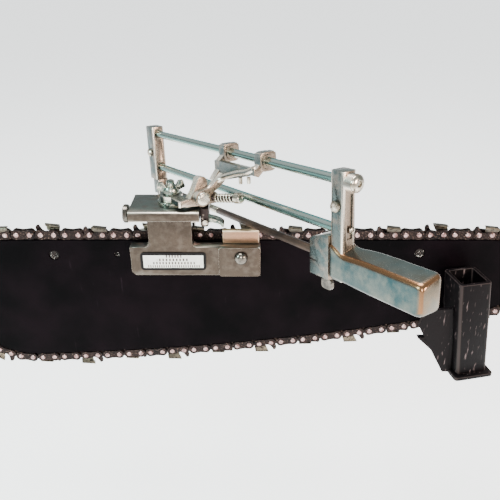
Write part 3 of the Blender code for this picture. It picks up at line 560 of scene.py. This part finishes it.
def rounded_copy(name, radius, material):
    """A copy of a CAD node with its edges rounded, to stand in its place."""
    bm = bmesh.new()
    bm.from_mesh(frame["nodes"][name].data)
    bmesh.ops.remove_doubles(bm, verts=bm.verts, dist=SAME_PLACE)
    bmesh.ops.dissolve_limit(bm, angle_limit=FLAT_ANGLE, verts=bm.verts, edges=bm.edges)
    mesh = bpy.data.meshes.new(name + "_edges")
    bm.to_mesh(mesh)
    bm.free()
    host = show(bpy.data.objects.new(name + "_host", mesh))
    bevel = host.modifiers.new("round_edges", 'BEVEL')
    bevel.width, bevel.segments = radius * MM, 3
    bevel.limit_method, bevel.angle_limit = 'ANGLE', BEVEL_ANGLE
    bevel.use_clamp_overlap = True
    bevel.miter_outer = 'MITER_ARC'
    return piece(name + "_cast", settled(host), material, [name], sharp=45.0)


EDGE_RADII = {"clamp_body": (0.8, BLOCK), "swivel_arm": (0.6, CAST), "yoke": (0.7, CAST),
              "left_post": (0.7, CAST), "right_post": (1.1, CAST), "rear_file_clamp": (0.6, CAST),
              "front_file_clamp": (0.7, CAST), "guide_block": (0.5, BRONZE), "tooth_stop": (0.5, TEAL),
              "pawl_bracket": (0.4, DARK), "wing_nut": (0.5, TEAL), "rear_jaw": (0.7, BLOCK),
              "vise_bracket": (0.8, PAINT), "vise_post": (0.6, PAINT), "foot_plate": (0.6, PAINT),
              "front_jaw_pad": (0.5, PAINT), "rear_jaw_pad": (0.5, PAINT)}
for name, (radius, material) in EDGE_RADII.items():
    print(name, len(rounded_copy(name, radius, material).data.polygons), "faces")

# %% [markdown]
# The post's foot is braced to the bracket by a gusset, a flat plate with a slanting outer edge. It is
# only folded plate, so a plain outline pushed out to 3 mm is enough. It starts inside the bracket and
# ends inside the post's wall, as a welded plate would.

# %% Gusset
GUSSET_FOOT = ORIGIN.z + 1.0
bm = bmesh.new()
slab(bm, [(133.6, -66.0), (137.0, -52.0), (158.0, -50.0), (166.6, GUSSET_FOOT), (158.8, GUSSET_FOOT)],
     -31.0, -28.0)
piece("post_gusset", mesh_from(bm, "post_gusset"), PAINT, body="base")
print("gusset made")

# %% [markdown]
# The handle is one long casting with a soft, hand-sized section. It is lofted: the same rounded
# rectangle at a few stations along the file's direction, each a little wider or taller than the last,
# with the end stations drawn in to round the end face. Its root sweeps up round the foot of the post,
# which is cast in one with it, and its top slopes down towards the front.


# %% Handle
def soft_rectangle(half_wide, low, high, corner, steps=8):
    """A rectangle with round corners, as (n, h) pairs."""
    points = []
    right, left, top, bottom = half_wide - corner, corner - half_wide, high - corner, low + corner
    for n, h, start in ((right, top, 0), (left, top, 90), (left, bottom, 180), (right, bottom, 270)):
        for k in range(steps + 1):
            a = math.radians(start + 90 * k / steps)
            points.append((n + corner * math.cos(a), h + corner * math.sin(a)))
    return points


HANDLE_ROOT, TOP_SLOPE = 121.9, 3.8
STATIONS = [  # distance from the root, half width, bottom, top, corner radius
    (-11.3, 6.4, -10.0, 15.0, 2.4), (-11.0, 7.0, -10.6, 15.4, 2.7), (-10.0, 7.3, -10.8, 15.5, 2.8),
    (-7.5, 7.4, -10.9, 14.6, 2.8), (-4.5, 7.4, -10.9, 13.0, 2.8), (-1.5, 7.3, -10.9, 11.2, 2.8),
    (2.0, 7.3, -10.8, 10.5, 2.9), (6.0, 7.4, -10.8, 10.7, 2.9), (11.0, 7.8, -10.8, 11.3, 2.9),
    (20.0, 8.1, -10.8, 11.9, 2.9), (32.0, 8.3, -10.8, 12.1, 2.9), (57.4, 8.4, -10.8, 12.2, 2.9),
    (59.6, 8.1, -10.5, 11.9, 3.0), (61.0, 7.4, -9.7, 11.1, 3.0), (61.7, 6.4, -8.7, 10.1, 2.8)]


def handle_loop(bm, s, half_wide, low, high, corner):
    """One section of the handle; its upper half drops towards the front."""
    loop = []
    for n, h in soft_rectangle(half_wide, low, high, corner):
        drop = TOP_SLOPE * (1 - n / half_wide) / 2 if h > (low + high) / 2 else 0.0
        loop.append(bm.verts.new(on_frame(HANDLE_ROOT + s, n, h - drop)))
    return loop


bm = bmesh.new()
skin(bm, [handle_loop(bm, *station) for station in STATIONS])
handle = piece("handle_casting", mesh_from(bm, "handle_casting"), HANDLE, ["handle"], sharp=50)
print("handle", len(handle.data.polygons), "faces")

# %% [markdown]
# Now the saw chain. Its path is a closed loop round the bar: a straight top run, a round end on each
# side and a long shallow curve below. The same three arcs that shape the bar give the path, and the
# loop is exactly 56 pairs of links long, which fixes where the far end of the bar must be.

# %% The chain's path
UNIT, LINK, UNITS = 19.05, 10.35, 56
RIGHT_R, LEFT_R, BELLY_R, RIGHT_X = 37.0, 60.0, 2110.0, 191.6
CUTTER_X = -163.8


def chain_arcs(left_x):
    """Arcs of the loop, clockwise from the front: (centre, radius, first angle, turn)."""
    right, left = Vector((RIGHT_X, -RIGHT_R)), Vector((left_x, -LEFT_R))
    near, far = BELLY_R - RIGHT_R, BELLY_R - LEFT_R
    gap = left - right
    along = (near * near - far * far + gap.length_squared) / (2 * gap.length)
    up = math.sqrt(near * near - along * along)
    e = gap.normalized()
    belly = right + e * along + Vector((e.y, -e.x)) * up
    first = [math.atan2(*(c - belly).yx) % (-2 * math.pi) for c in (right, left)]
    return [(right, RIGHT_R, math.pi / 2, math.pi / 2 - first[0]),
            (belly, BELLY_R, first[0], first[0] - first[1]),
            (left, LEFT_R, first[1], first[1] + 1.5 * math.pi)]


def loop_length(left_x):
    return RIGHT_X - left_x + sum(radius * turn for _, radius, _, turn in chain_arcs(left_x))


low_x, high_x = -260.0, -120.0
for _ in range(60):  # halves the gap each time, until the loop has the right length
    left_x = (low_x + high_x) / 2
    low_x, high_x = (left_x, high_x) if loop_length(left_x) > UNITS * UNIT else (low_x, left_x)
ARCS = chain_arcs(left_x)
print("left end of the bar at", round(left_x, 2), "mm, loop", UNITS * UNIT, "mm")


# %% A curve along the rivet line
def on_chain(u):
    """The point of the rivet line at arc length u."""
    u %= UNITS * UNIT
    if u <= RIGHT_X - left_x:
        return Vector((left_x + u, 0, 0))
    u -= RIGHT_X - left_x
    for centre, radius, first, turn in ARCS:
        if u <= radius * turn:
            a = first - u / radius
            return Vector((centre.x + radius * math.cos(a), 0, centre.y + radius * math.sin(a)))
        u -= radius * turn
    return Vector((left_x, 0, 0))


def curve_object(name, points, radius=0.0, resolution=4, closed=False):
    """A curve through points in millimetres; a radius makes it a round wire with capped ends."""
    data = bpy.data.curves.new(name, 'CURVE')
    data.dimensions = '3D'
    data.bevel_depth, data.bevel_resolution, data.use_fill_caps = radius * MM, resolution, radius > 0
    spline = data.splines.new('POLY')
    spline.points.add(len(points) - 1)
    for spot, point in zip(spline.points, points):
        spot.co = (*place(point), 1)
    spline.use_cyclic_u = closed
    return show(bpy.data.objects.new(name, data))


PATH_STEPS = 12  # for each pair of links
path_points = [on_chain(k * UNIT / PATH_STEPS) for k in range(UNITS * PATH_STEPS)]
chain_path = curve_object("chain_path", path_points, closed=True)
print("chain path with", len(path_points), "points")

# %% [markdown]
# A chain is the textbook case for Geometry Nodes: one small mesh, repeated along a curve. The tree
# below makes a row of points, moves point number i to the place on the curve at start + i * spacing,
# turns it along the curve and puts one link there. The same tree serves straps, cutters, drive links
# and rivets: Every and Phase pick which of the points count, and Others takes the rest instead.


# %% A node tree that repeats a part along a curve
def new_tree(name, inputs):
    """A geometry tree, the identifier of each of its inputs, its input sockets and its output node."""
    tree = bpy.data.node_groups.new(name, 'GeometryNodeTree')
    tree.interface.new_socket("Geometry", in_out='OUTPUT', socket_type='NodeSocketGeometry')
    identifiers = {}
    for label, kind in inputs.items():
        socket = tree.interface.new_socket(label, in_out='INPUT', socket_type='NodeSocket' + kind)
        identifiers[label] = socket.identifier
    return tree, identifiers, tree.nodes.new('NodeGroupInput').outputs, tree.nodes.new('NodeGroupOutput')


def end_tree(tree, geometry, material, end):
    """The last two steps of a tree: the material, and the way out."""
    painted = node(tree, 'GeometryNodeSetMaterial', Geometry=geometry, Material=material)
    tree.links.new(painted.outputs[0], end.inputs[0])
    print("tree", tree.name, "has", len(tree.nodes), "nodes")


ALONG, ALONG_IN, given, end = new_tree("part_along_curve", {
    "Path": 'Object', "Part": 'Object', "Count": 'Int', "Start": 'Float', "Spacing": 'Float',
    "Every": 'Int', "Phase": 'Int', "Others": 'Bool', "Finish": 'Material'})
index = node(ALONG, 'GeometryNodeInputIndex').outputs[0]
line = node(ALONG, 'GeometryNodeMeshLine', Count=given["Count"])
path = node(ALONG, 'GeometryNodeObjectInfo', Object=given["Path"]).outputs["Geometry"]
part = node(ALONG, 'GeometryNodeObjectInfo', Object=given["Part"]).outputs["Geometry"]
reach = math_node(ALONG, 'ADD', given["Start"], math_node(ALONG, 'MULTIPLY', index, given["Spacing"]))
whole = node(ALONG, 'GeometryNodeCurveLength', Curve=path).outputs[0]
sample = node(ALONG, 'GeometryNodeSampleCurve', {"mode": 'LENGTH'}, Curves=path,
              Length=math_node(ALONG, 'FLOORED_MODULO', reach, whole)).outputs
moved = node(ALONG, 'GeometryNodeSetPosition', Geometry=line.outputs[0], Position=sample["Position"])
facing = node(ALONG, 'FunctionNodeAlignRotationToVector', {"axis": 'X', "pivot_axis": 'Y'},
              Vector=sample["Tangent"])
chosen = node(ALONG, 'FunctionNodeCompare', {"data_type": 'FLOAT', "operation": 'EQUAL'},
              i0=math_node(ALONG, 'MODULO', index, given["Every"]), i1=given["Phase"])
picked = node(ALONG, 'FunctionNodeBooleanMath', {"operation": 'XOR'},
              i0=chosen.outputs[0], i1=given["Others"])
copies = node(ALONG, 'GeometryNodeInstanceOnPoints', Points=moved.outputs[0], Selection=picked.outputs[0],
              Instance=part, Rotation=facing.outputs[0])
real = node(ALONG, 'GeometryNodeRealizeInstances', Geometry=copies.outputs[0])
end_tree(ALONG, real.outputs[0], given["Finish"], end)


# %% Run a tree and keep its mesh
def run_tree(tree, identifiers, values):
    """The mesh that a node tree makes, with its modifier gone."""
    host = show(bpy.data.objects.new("host", bpy.data.meshes.new("host")))
    modifier = host.modifiers.new("nodes", 'NODES')
    modifier.node_group = tree
    for label, value in values.items():
        modifier[identifiers[label]] = value
    return settled(host)


def pattern(name, bm):
    """A small mesh, in millimetres about its own middle, to be repeated by a tree."""
    return show(bpy.data.objects.new(name, mesh_from(bm, name, lambda point: point * MM)))


def arc(cx, cz, radius, a0, a1, steps):
    """Points of an arc in (x, z), between two angles in degrees."""
    angles = [math.radians(a0 + (a1 - a0) * k / steps) for k in range(steps + 1)]
    return [(cx + radius * math.cos(a), cz + radius * math.sin(a)) for a in angles]


print("tree inputs:", ", ".join(ALONG_IN))

# %% [markdown]
# A side strap is two round ends joined by a waist. A drive link has a hooked tang that runs in the
# bar's groove. A cutter carries a depth gauge in front, then a gullet, then a side plate that leans
# outwards and folds over into the top plate, whose front edge is ground at a slant. All of them are
# drawn about the middle between their two rivets, so the tree can turn them there.

# %% Straps and drive links
PLATE_IN, PLATE_OUT, HALF, END_R = 0.95, 2.45, LINK / 2, 4.2
WAIST_BELOW = [(-1.2, -3.5), (1.2, -3.5)]
STRAP = (arc(HALF, 0, END_R, -80, 80, 7) + [(1.2, 3.3), (-1.2, 3.3)] + arc(-HALF, 0, END_R, 100, 260, 7)
         + WAIST_BELOW)


def strap(side):
    """A side link; side is 1 for the rear and -1 for the front."""
    bm = bmesh.new()
    slab(bm, STRAP, *sorted((side * PLATE_IN, side * PLATE_OUT)))
    return pattern("strap_pattern", bm)


DRIVE_HALF, DRIVE_THICK = (UNIT - LINK) / 2, 1.3
TANG = [(-5.2, -5.0), (-3.4, -8.4), (-1.9, -9.3), (-0.6, -8.6), (0.6, -6.6), (3.6, -5.4)]
bm = bmesh.new()
slab(bm, arc(DRIVE_HALF, -0.6, 3.7, -60, 80, 5) + [(0, 2.6)]
     + arc(-DRIVE_HALF, -0.6, 3.7, 100, 210, 4) + TANG, -DRIVE_THICK / 2, DRIVE_THICK / 2)
drive_pattern = pattern("drive_pattern", bm)
print("drive link", len(drive_pattern.data.vertices), "corners")

# %% Cutters and rivets
GAUGE_AND_GULLET = [(9.0, 3.4), (1.6, 3.4), (0.2, 1.6), (-2.6, 1.5), (-4.6, 3.0), (-6.0, 5.6), (-6.5, 7.0),
                    (-7.6, 7.2), (-8.9, 6.3), (-9.3, 4.6)]
CUTTER_SECTION = [(1.0, 2.6), (2.3, 2.6), (4.2, 5.6), (4.6, 6.9), (4.1, 7.7), (0.2, 7.6), (0.2, 6.9),
                  (3.3, 6.8), (3.6, 6.2), (3.1, 5.2)]
LEAD, TAIL = -1.9, 9.5  # where the top plate starts and ends
WIDEST, TOP_FROM = 4.6, 5  # the section's reach to the side, and the height at which the top plate begins
GRIND, HOOK = 0.275, 0.25  # how far the ground edge runs back across the plate and down the side
HEEL_LEAN, HEEL_SHARE, HEEL_DROP = 0.12, 0.97, 1.2  # the heel leans, narrows and drops, which gives clearance


def cutter(side):
    """A cutter's side plate and top plate; side is 1 for the rear and -1 for the front."""
    bm = bmesh.new()
    body = (arc(HALF, 0, END_R, -80, 40, 5) + GAUGE_AND_GULLET
            + arc(-HALF, 0, END_R, 150, 260, 5) + WAIST_BELOW)
    slab(bm, body, *sorted((side * PLATE_IN, side * PLATE_OUT)))
    side_plate = pattern("cutter_body_pattern", bm)
    bm = bmesh.new()
    ground = [bm.verts.new((LEAD + GRIND * max(0, WIDEST - y) - HOOK * (z - TOP_FROM), side * y, z))
              for y, z in CUTTER_SECTION]
    heel = [bm.verts.new((TAIL - HEEL_LEAN * (z - 2), side * y * HEEL_SHARE, z - HEEL_DROP * (z > TOP_FROM)))
            for y, z in CUTTER_SECTION]
    skin(bm, [ground, heel])
    return side_plate, pattern("cutter_top_pattern", bm)


RIVET_HALF = [(0, -3.0), (0.6, -3.05), (0.75, -2.85), (1.05, -2.85), (1.2, -3.1), (1.75, -2.95),
              (2.05, -2.45)]
bm = bmesh.new()
revolve(bm, RIVET_HALF + [(r, -y) for r, y in reversed(RIVET_HALF)], Vector((0, 0, 0)), Y, 14)
rivet_pattern = pattern("rivet_pattern", bm)
print("rivet", len(rivet_pattern.data.polygons), "faces")

# %% The whole chain
FIRST = CUTTER_X - left_x
COMMON = {"Path": chain_path, "Count": UNITS, "Spacing": UNIT * MM, "Every": 4, "Phase": 0, "Others": False}


def chain_piece(name, part, material, start, nodes=(), **changes):
    """One kind of link, repeated along the path, as one piece on the bar."""
    given = {**COMMON, "Part": part, "Finish": material, "Start": start * MM, **changes}
    piece(name, run_tree(ALONG, ALONG_IN, given), material, nodes, "base", 30)


chain_piece("drive_links", drive_pattern, CHAIN, FIRST + LINK + DRIVE_HALF, ["chain_drive_links"], Every=1)
for side_name, side, phase in (("front", -1, 2), ("rear", 1, 0)):
    middle = FIRST + HALF
    side_plate, top_plate = cutter(side)
    chain_piece(f"straps_{side_name}", strap(side), CHAIN, middle, [f"chain_{side_name}_side_links"],
                Phase=phase, Others=True)
    chain_piece(f"cutter_bodies_{side_name}", side_plate, CHAIN, middle, Phase=phase)
    chain_piece(f"cutter_tops_{side_name}", top_plate, CUTTER, middle, Phase=phase)
chain_piece("rivets_leading", rivet_pattern, RIVET, FIRST, Every=1)
chain_piece("rivets_trailing", rivet_pattern, RIVET, FIRST + LINK, Every=1)
print("chain:", UNITS, "drive links,", UNITS * 2, "side links,", UNITS * 2, "rivets")

# %% [markdown]
# Knobs are turned and then knurled. The turned core is a revolved profile. The ridges are the second
# node tree: a ring of points, a small ridge on each one turned to face outwards, and the whole ring
# moved and tilted onto the knob's own axis.

# %% A node tree for rings of ridges
RING, RING_IN, given, end = new_tree("ridges_round_a_knob", {
    "Part": 'Object', "Count": 'Int', "Radius": 'Float', "Place": 'Vector', "Tilt": 'Vector',
    "Finish": 'Material'})
ring = node(RING, 'GeometryNodeMeshCircle', Vertices=given["Count"], Radius=given["Radius"])
spot = node(RING, 'GeometryNodeInputPosition').outputs[0]
facing = node(RING, 'FunctionNodeAlignRotationToVector', {"axis": 'X', "pivot_axis": 'Z'}, Vector=spot)
part = node(RING, 'GeometryNodeObjectInfo', Object=given["Part"]).outputs["Geometry"]
copies = node(RING, 'GeometryNodeInstanceOnPoints', Points=ring.outputs[0], Instance=part,
              Rotation=facing.outputs[0])
real = node(RING, 'GeometryNodeRealizeInstances', Geometry=copies.outputs[0])
seated = node(RING, 'GeometryNodeTransform', Geometry=real.outputs[0], Translation=given["Place"],
              Rotation=given["Tilt"])
end_tree(RING, seated.outputs[0], given["Finish"], end)

# %% Knurled knobs
RIDGE_SHARE, RIDGE_IN, RIDGE_OUT = 0.62, -0.45, 0.28  # its width in the pitch, and its depth and height
GRIP_EDGE, GRIP_SINK = 0.35, 0.15  # ridges stop short of the grip's ends and start inside its surface


def knurled(name, profile, at, axis, material, nodes, grip, ridges=28):
    """A turned piece with a ring of ridges; grip is (radius, from, to) along its axis."""
    radius, t0, t1 = grip
    wide = math.pi * radius / ridges * RIDGE_SHARE
    outline = [(RIDGE_IN, -wide), (RIDGE_OUT, -wide / 4), (RIDGE_OUT, wide / 4), (RIDGE_IN, wide)]
    bm = bmesh.new()
    skin(bm, [[bm.verts.new((x, y, t)) for x, y in outline] for t in (t0 + GRIP_EDGE, t1 - GRIP_EDGE)])
    ridge = pattern(name + "_ridge", bm)
    ring_mesh = run_tree(RING, RING_IN, {
        "Part": ridge, "Count": ridges, "Radius": (radius - GRIP_SINK) * MM, "Place": tuple(place(at)),
        "Tilt": tuple(axis.to_track_quat('Z', 'Y').to_euler()), "Finish": material})
    bpy.data.objects.remove(ridge)
    bm = bmesh.new()
    revolve(bm, profile, at, axis, 40)
    core = mesh_from(bm, name)
    bm = bmesh.new()
    bm.from_mesh(core)
    bm.from_mesh(ring_mesh)
    bm.to_mesh(core)
    bm.free()
    return piece(name, core, material, nodes, sharp=28)


REAR_KNOB = [(0, 5.5), (3, 5.5), (3, 16.3), (7.0, 16.4), (7.4, 17.0), (7.4, 23.6), (6.9, 24.3), (3.0, 24.4),
             (2.6, 24.0), (0, 24.0)]
for name, x in (("rear_thumb_screw_left", -78.0), ("rear_thumb_screw_right", -50.0)):
    knurled(name + "_knurled", REAR_KNOB, Vector((x, 0, -17)), Y, BRIGHT, [name], (7.4, 17.0, 23.6))
SIDE_KNOB = [(0, -4.4), (2.2, -4.4), (2.6, -4.1), (6.4, -4.3), (6.95, -3.7), (6.95, -1.0), (6.4, -0.4),
             (2.5, -0.3), (2.5, 14), (0, 14)]
knurled("side_knob_knurled", SIDE_KNOB, Vector((-91.0, -8.0, 21.2)), X, DOME, ["side_knob"],
        (6.95, -3.7, -1.0), ridges=30)
print("screw knobs made")

# %% Stop screw with its thread
STOP_AT = on_frame(15.0, -9.5, 21.5)
STOP_DIR = (D * 0.944 + N * 0.305 + W * 0.126).normalized()
STOP_ROOT = -29.0
THREAD_PITCH, THREAD_CORE, THREAD_CREST, THREAD_END = 0.7, 1.45, 1.78, -4.2
thread = [(0, STOP_ROOT)]  # a saw-tooth profile: each pair of points is one turn of the thread
t = STOP_ROOT + 0.2
while t < THREAD_END:
    thread += [(THREAD_CORE, t), (THREAD_CREST, t + THREAD_PITCH / 2)]
    t += THREAD_PITCH
turned("stop_thread", thread + [(1.6, -3.3), (0, -3.2)], STOP_AT, STOP_DIR, DARK, body="stop",
       steps=28, sharp=50)
STOP_HEAD = [(0, -3.5), (1.6, -3.5), (3.5, -3.4), (3.95, -2.8), (3.95, 2.2), (3.5, 2.8), (1.2, 2.85),
             (0.9, 2.4), (0, 2.4)]
knurled("stop_screw_knurled", STOP_HEAD, STOP_AT, STOP_DIR, BRIGHT, ["stop_screw"], (3.95, -2.8, 2.2),
        ridges=22)
print("thread with", len(thread) // 2, "turns")

# %% Turret dial
DIAL_Z = 25.8
DIAL = [(0, DIAL_Z), (10.5, DIAL_Z), (10.5, 28.3), (10.0, 28.9), (3.0, 29.0), (3.0, 43.4), (2.4, 44.1),
        (0, 44.1)]
knurled("turret_dial", DIAL, Vector((-60.0, 2.0, 0.0)), Z, TEAL, ["turret_base"], (10.5, DIAL_Z - 0.2, 28.6),
        ridges=48)
print("dial made")

# %% [markdown]
# The remaining small pieces are turned, coiled or plain. The spring is one smooth wire: a helix drawn
# as a curve with a round section, which is swept for us, with both ends capped.

# %% Spring round the stop screw
COIL_R, COIL_FROM, COIL_LONG, TURNS, STEPS = 2.85, 7.0, 17.2, 6, 28
spring_u, spring_v = across(STOP_DIR)
helix = []
for k in range(TURNS * STEPS + 1):
    a = 2 * math.pi * k / STEPS
    t = STOP_ROOT + COIL_FROM + COIL_LONG * k / (TURNS * STEPS)
    helix.append(STOP_AT + STOP_DIR * t + (spring_u * math.cos(a) + spring_v * math.sin(a)) * COIL_R)
spring_mesh = settled(curve_object("spring_wire", helix, 0.7, 3))
piece("stop_spring_coil", spring_mesh, SPRING, ["stop_spring"], sharp=60)
print("spring", len(spring_mesh.polygons), "faces")

# %% Turned screws and the file
DOME_R, DOME_HIGH, DOME_BASE = 5.15, 3.85, -18.3
dome = [(0, -22.15)]
for degrees in range(12, 91, 6):
    a = math.radians(degrees)
    dome.append((DOME_R * math.sin(a), DOME_BASE - DOME_HIGH * math.cos(a)))
turned("domed_screw_turned", dome + [(5.2, -17.85), (3.0, -17.8), (3.0, -3.1), (0, -3.1)],
       Vector((-6.9, 0, -12.0)), Y, DOME, ["domed_clamp_screw"])
BOLT = [(0, -18.9), (2.5, -18.8), (2.5, -1.7), (5.0, -1.65), (5.2, -1.4), (5.15, -0.9), (4.8, -0.3),
        (4.2, 0.1), (3.2, 0.3), (1.6, 0.4), (0, 0.42)]
turned("hinge_bolt", BOLT, on_frame(0, -29.6, 21.4), D, SPRING, ["hinge_pin"])
FILE_R = 2.75
NECK_R = FILE_R - 0.3
BLADE = [(0, -29.7), (NECK_R, -29.7), (FILE_R, -29.0), (FILE_R, 106.0), (NECK_R, 106.7), (0, 106.7)]
turned("file_body", BLADE, FILE_AT, D, FILE, ["round_file"])
FERRULE = [(0, -50), (FILE_R - 0.4, -50), (FILE_R, -49.4), (FILE_R, -33.0), (NECK_R, -32.4), (NECK_R, -31.6),
           (FILE_R, -31.2), (FILE_R, -30.4), (NECK_R, -30), (0, -30)]
turned("file_ferrule_turned", FERRULE, FILE_AT, D, BRIGHT, ["file_ferrule"])
print("turned pieces made")

# %% [markdown]
# A few things are too small or too soft for the CAD model. The two eyes of the yoke have square tops,
# where the founder left metal for boring them, and a round rib runs between them like a bent arm, with
# two set screws below. The right post carries a flat screw and a domed one. And a used bar never has
# clean holes: they fill with oil and sawdust, which sets into a dull, lumpy plug.


# %% Square tops of the yoke's eyes
def box_top(name, s0, s1):
    """A block over a bore: the corners, then the half circle that clears the bushing."""
    half, low, high, notch = 6.6, 51.0, 57.6, 5.6
    outline = [(-half, low), (-half, high), (half, high), (half, low)] + [
        (notch * math.cos(a), low + notch * math.sin(a)) for a in (math.pi * k / 16 for k in range(17))]
    bm = bmesh.new()
    skin(bm, [[bm.verts.new(on_frame(s, n, h)) for n, h in outline] for s in (s0, s1)])
    outer = {v for v in bm.verts if (v.co - FILE_AT).dot(W) > (low + high) / 2
             and abs((v.co - FILE_AT).dot(N)) > half - 0.1}
    upper_edges = [edge for edge in bm.edges if outer.issuperset(edge.verts)]
    bmesh.ops.bevel(bm, geom=upper_edges, offset=0.8, segments=3, affect='EDGES')
    piece(name, mesh_from(bm, name), CAST, body="lift_yoke", sharp=40)


box_top("eye_top_0", -13.3, -6.3)
box_top("eye_top_1", 33.5, 40.5)
print("eye tops made")


# %% Arch of the yoke
def smooth_run(points, steps=8):
    """More points, on a curve that passes through the given ones."""
    padded = [points[0]] + points + [points[-1]]
    smooth = []
    for a, b, c, d in zip(padded, padded[1:], padded[2:], padded[3:]):
        for t in (k / steps for k in range(steps)):
            smooth.append((b * 2 + (c - a) * t + (a * 2 - b * 5 + c * 4 - d) * t ** 2
                           + (b * 3 - a - c * 3 + d) * t ** 3) / 2)
    return smooth + [points[-1]]


ARCH = [on_frame(*p) for p in ((-4.9, -28.0, 24.0), (-4.9, -22.0, 27.0), (-4.6, -16.0, 31.0),
                               (-1.0, -12.2, 34.6), (8.7, -11.4, 38.2), (20.2, -11.2, 41.6),
                               (30.0, -11.0, 43.8), (37.0, -10.0, 46.6))]
arch_mesh = settled(curve_object("yoke_arch_wire", smooth_run(ARCH), 2.3, 5))
piece("yoke_arch", arch_mesh, CAST, body="lift_yoke", sharp=60)
print("arch", len(arch_mesh.polygons), "faces")

# %% Small screws
SET_SCREW = [(0, -4.4), (1.1, -4.3), (1.4, -3.9), (1.4, 0.5), (0, 0.6)]
for number, (s, h) in enumerate(((20.0, 37.4), (30.5, 39.6))):
    turned(f"yoke_set_screw_{number}", SET_SCREW, on_frame(s, -10.2, h), W, BRIGHT, body="lift_yoke",
           steps=20, sharp=40)
FACE_SCREW = [(0, 121.3), (2.2, 121.3), (2.2, 122.6), (1.8, 123.0), (0.8, 123.1), (0.7, 122.6), (0, 122.5)]
turned("post_face_screw", FACE_SCREW, on_frame(0, 1.0, 21.5), D, BRIGHT, body="file_frame",
       steps=28, sharp=40)
CAP_R, CAP_HIGH, CAP_BASE = 5.3, 2.4, 126.5
cap = [(0, 126.2), (CAP_R, 126.2)]
for a in (math.radians(degrees) for degrees in range(0, 64, 9)):
    cap.append((CAP_R * math.cos(a), CAP_BASE + CAP_HIGH * math.sin(a)))
turned("post_cap_screw", cap + [(1.9, 128.6), (1.7, 127.6), (0, 127.5)], on_frame(0, 0, 51), D, BRIGHT,
       body="file_frame", steps=40, sharp=40)
print("small screws made")

# %% Plugs in the bar's holes
LUMP_HIGH = 0.25
HOLES = ((134.9, -16.2, 4.3), (-155.9, -18.0, 4.3), (-105.5, -17.1, 2.4))
for number, (x, z, radius) in enumerate(HOLES):
    side = [(radius * r, 1.5 + 0.5 * math.cos(9 * r + number)) for r in (0.98, 0.8, 0.6, 0.4, 0.2)]
    plug = [(0, -2.0)] + [(r, -y) for r, y in reversed(side)] + side + [(0, 2.0)]
    bm = bmesh.new()
    revolve(bm, plug, Vector((x, 0, z)), Y, 24)
    for v in bm.verts:  # waves across the plug make it lumpy
        v.co += Y * LUMP_HIGH * math.sin(7 * v.co.x + 5 * v.co.z)
    piece(f"hole_plug_{number}", mesh_from(bm, "hole_plug"), GRIME, body="base", sharp=60)
print("plugs in", len(HOLES), "holes")

# %% [markdown]
# Whatever is left of the CAD model already has its final shape, so it only needs its finish. A CAD
# node keeps its mesh, and the finish goes into the object's own material slot.

# %% Finishes for the rest
PLAIN = {"bar_front_plate": BAR, "bar_core": BAR, "bar_rear_plate": BAR, "end_sprocket": DARK,
         "vise_screw": DARK, "tommy_bar": DARK, "brass_set_screw": BRASS, "label_plate": LABEL,
         "pawl_pin": BRIGHT, "hinge_nut": BRIGHT, "bushing_left": CAST, "bushing_right": CAST,
         "upper_rod": ROD, "lower_rod": ROD, "left_post_screw": BRIGHT, "right_post_screw": BRIGHT,
         "rear_file_screw": DOME, "front_file_screw": DOME, "file_shank": FILE}
for name, material in PLAIN.items():
    for slot in frame["nodes"][name].material_slots:
        slot.link = 'OBJECT'
        slot.material = material
print(len(PLAIN), "nodes finished in place")

# %% [markdown]
# Last, the patterns and the path have done their work and are taken away. The size of what shows is
# printed next to the size of the CAD model.

# %% Clear up and finish
for obj in [o for o in bpy.data.objects if "_pattern" in o.name or o.name == "chain_path"]:
    bpy.data.objects.remove(obj)
boxes = {"cad": [list(corner) for corner in whole_box], "visual": [list(corner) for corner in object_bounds()]}
for name, (low_corner, high_corner) in boxes.items():
    print(name, "box in mm:", [round((b - a) * 1000, 1) for a, b in zip(low_corner, high_corner)])
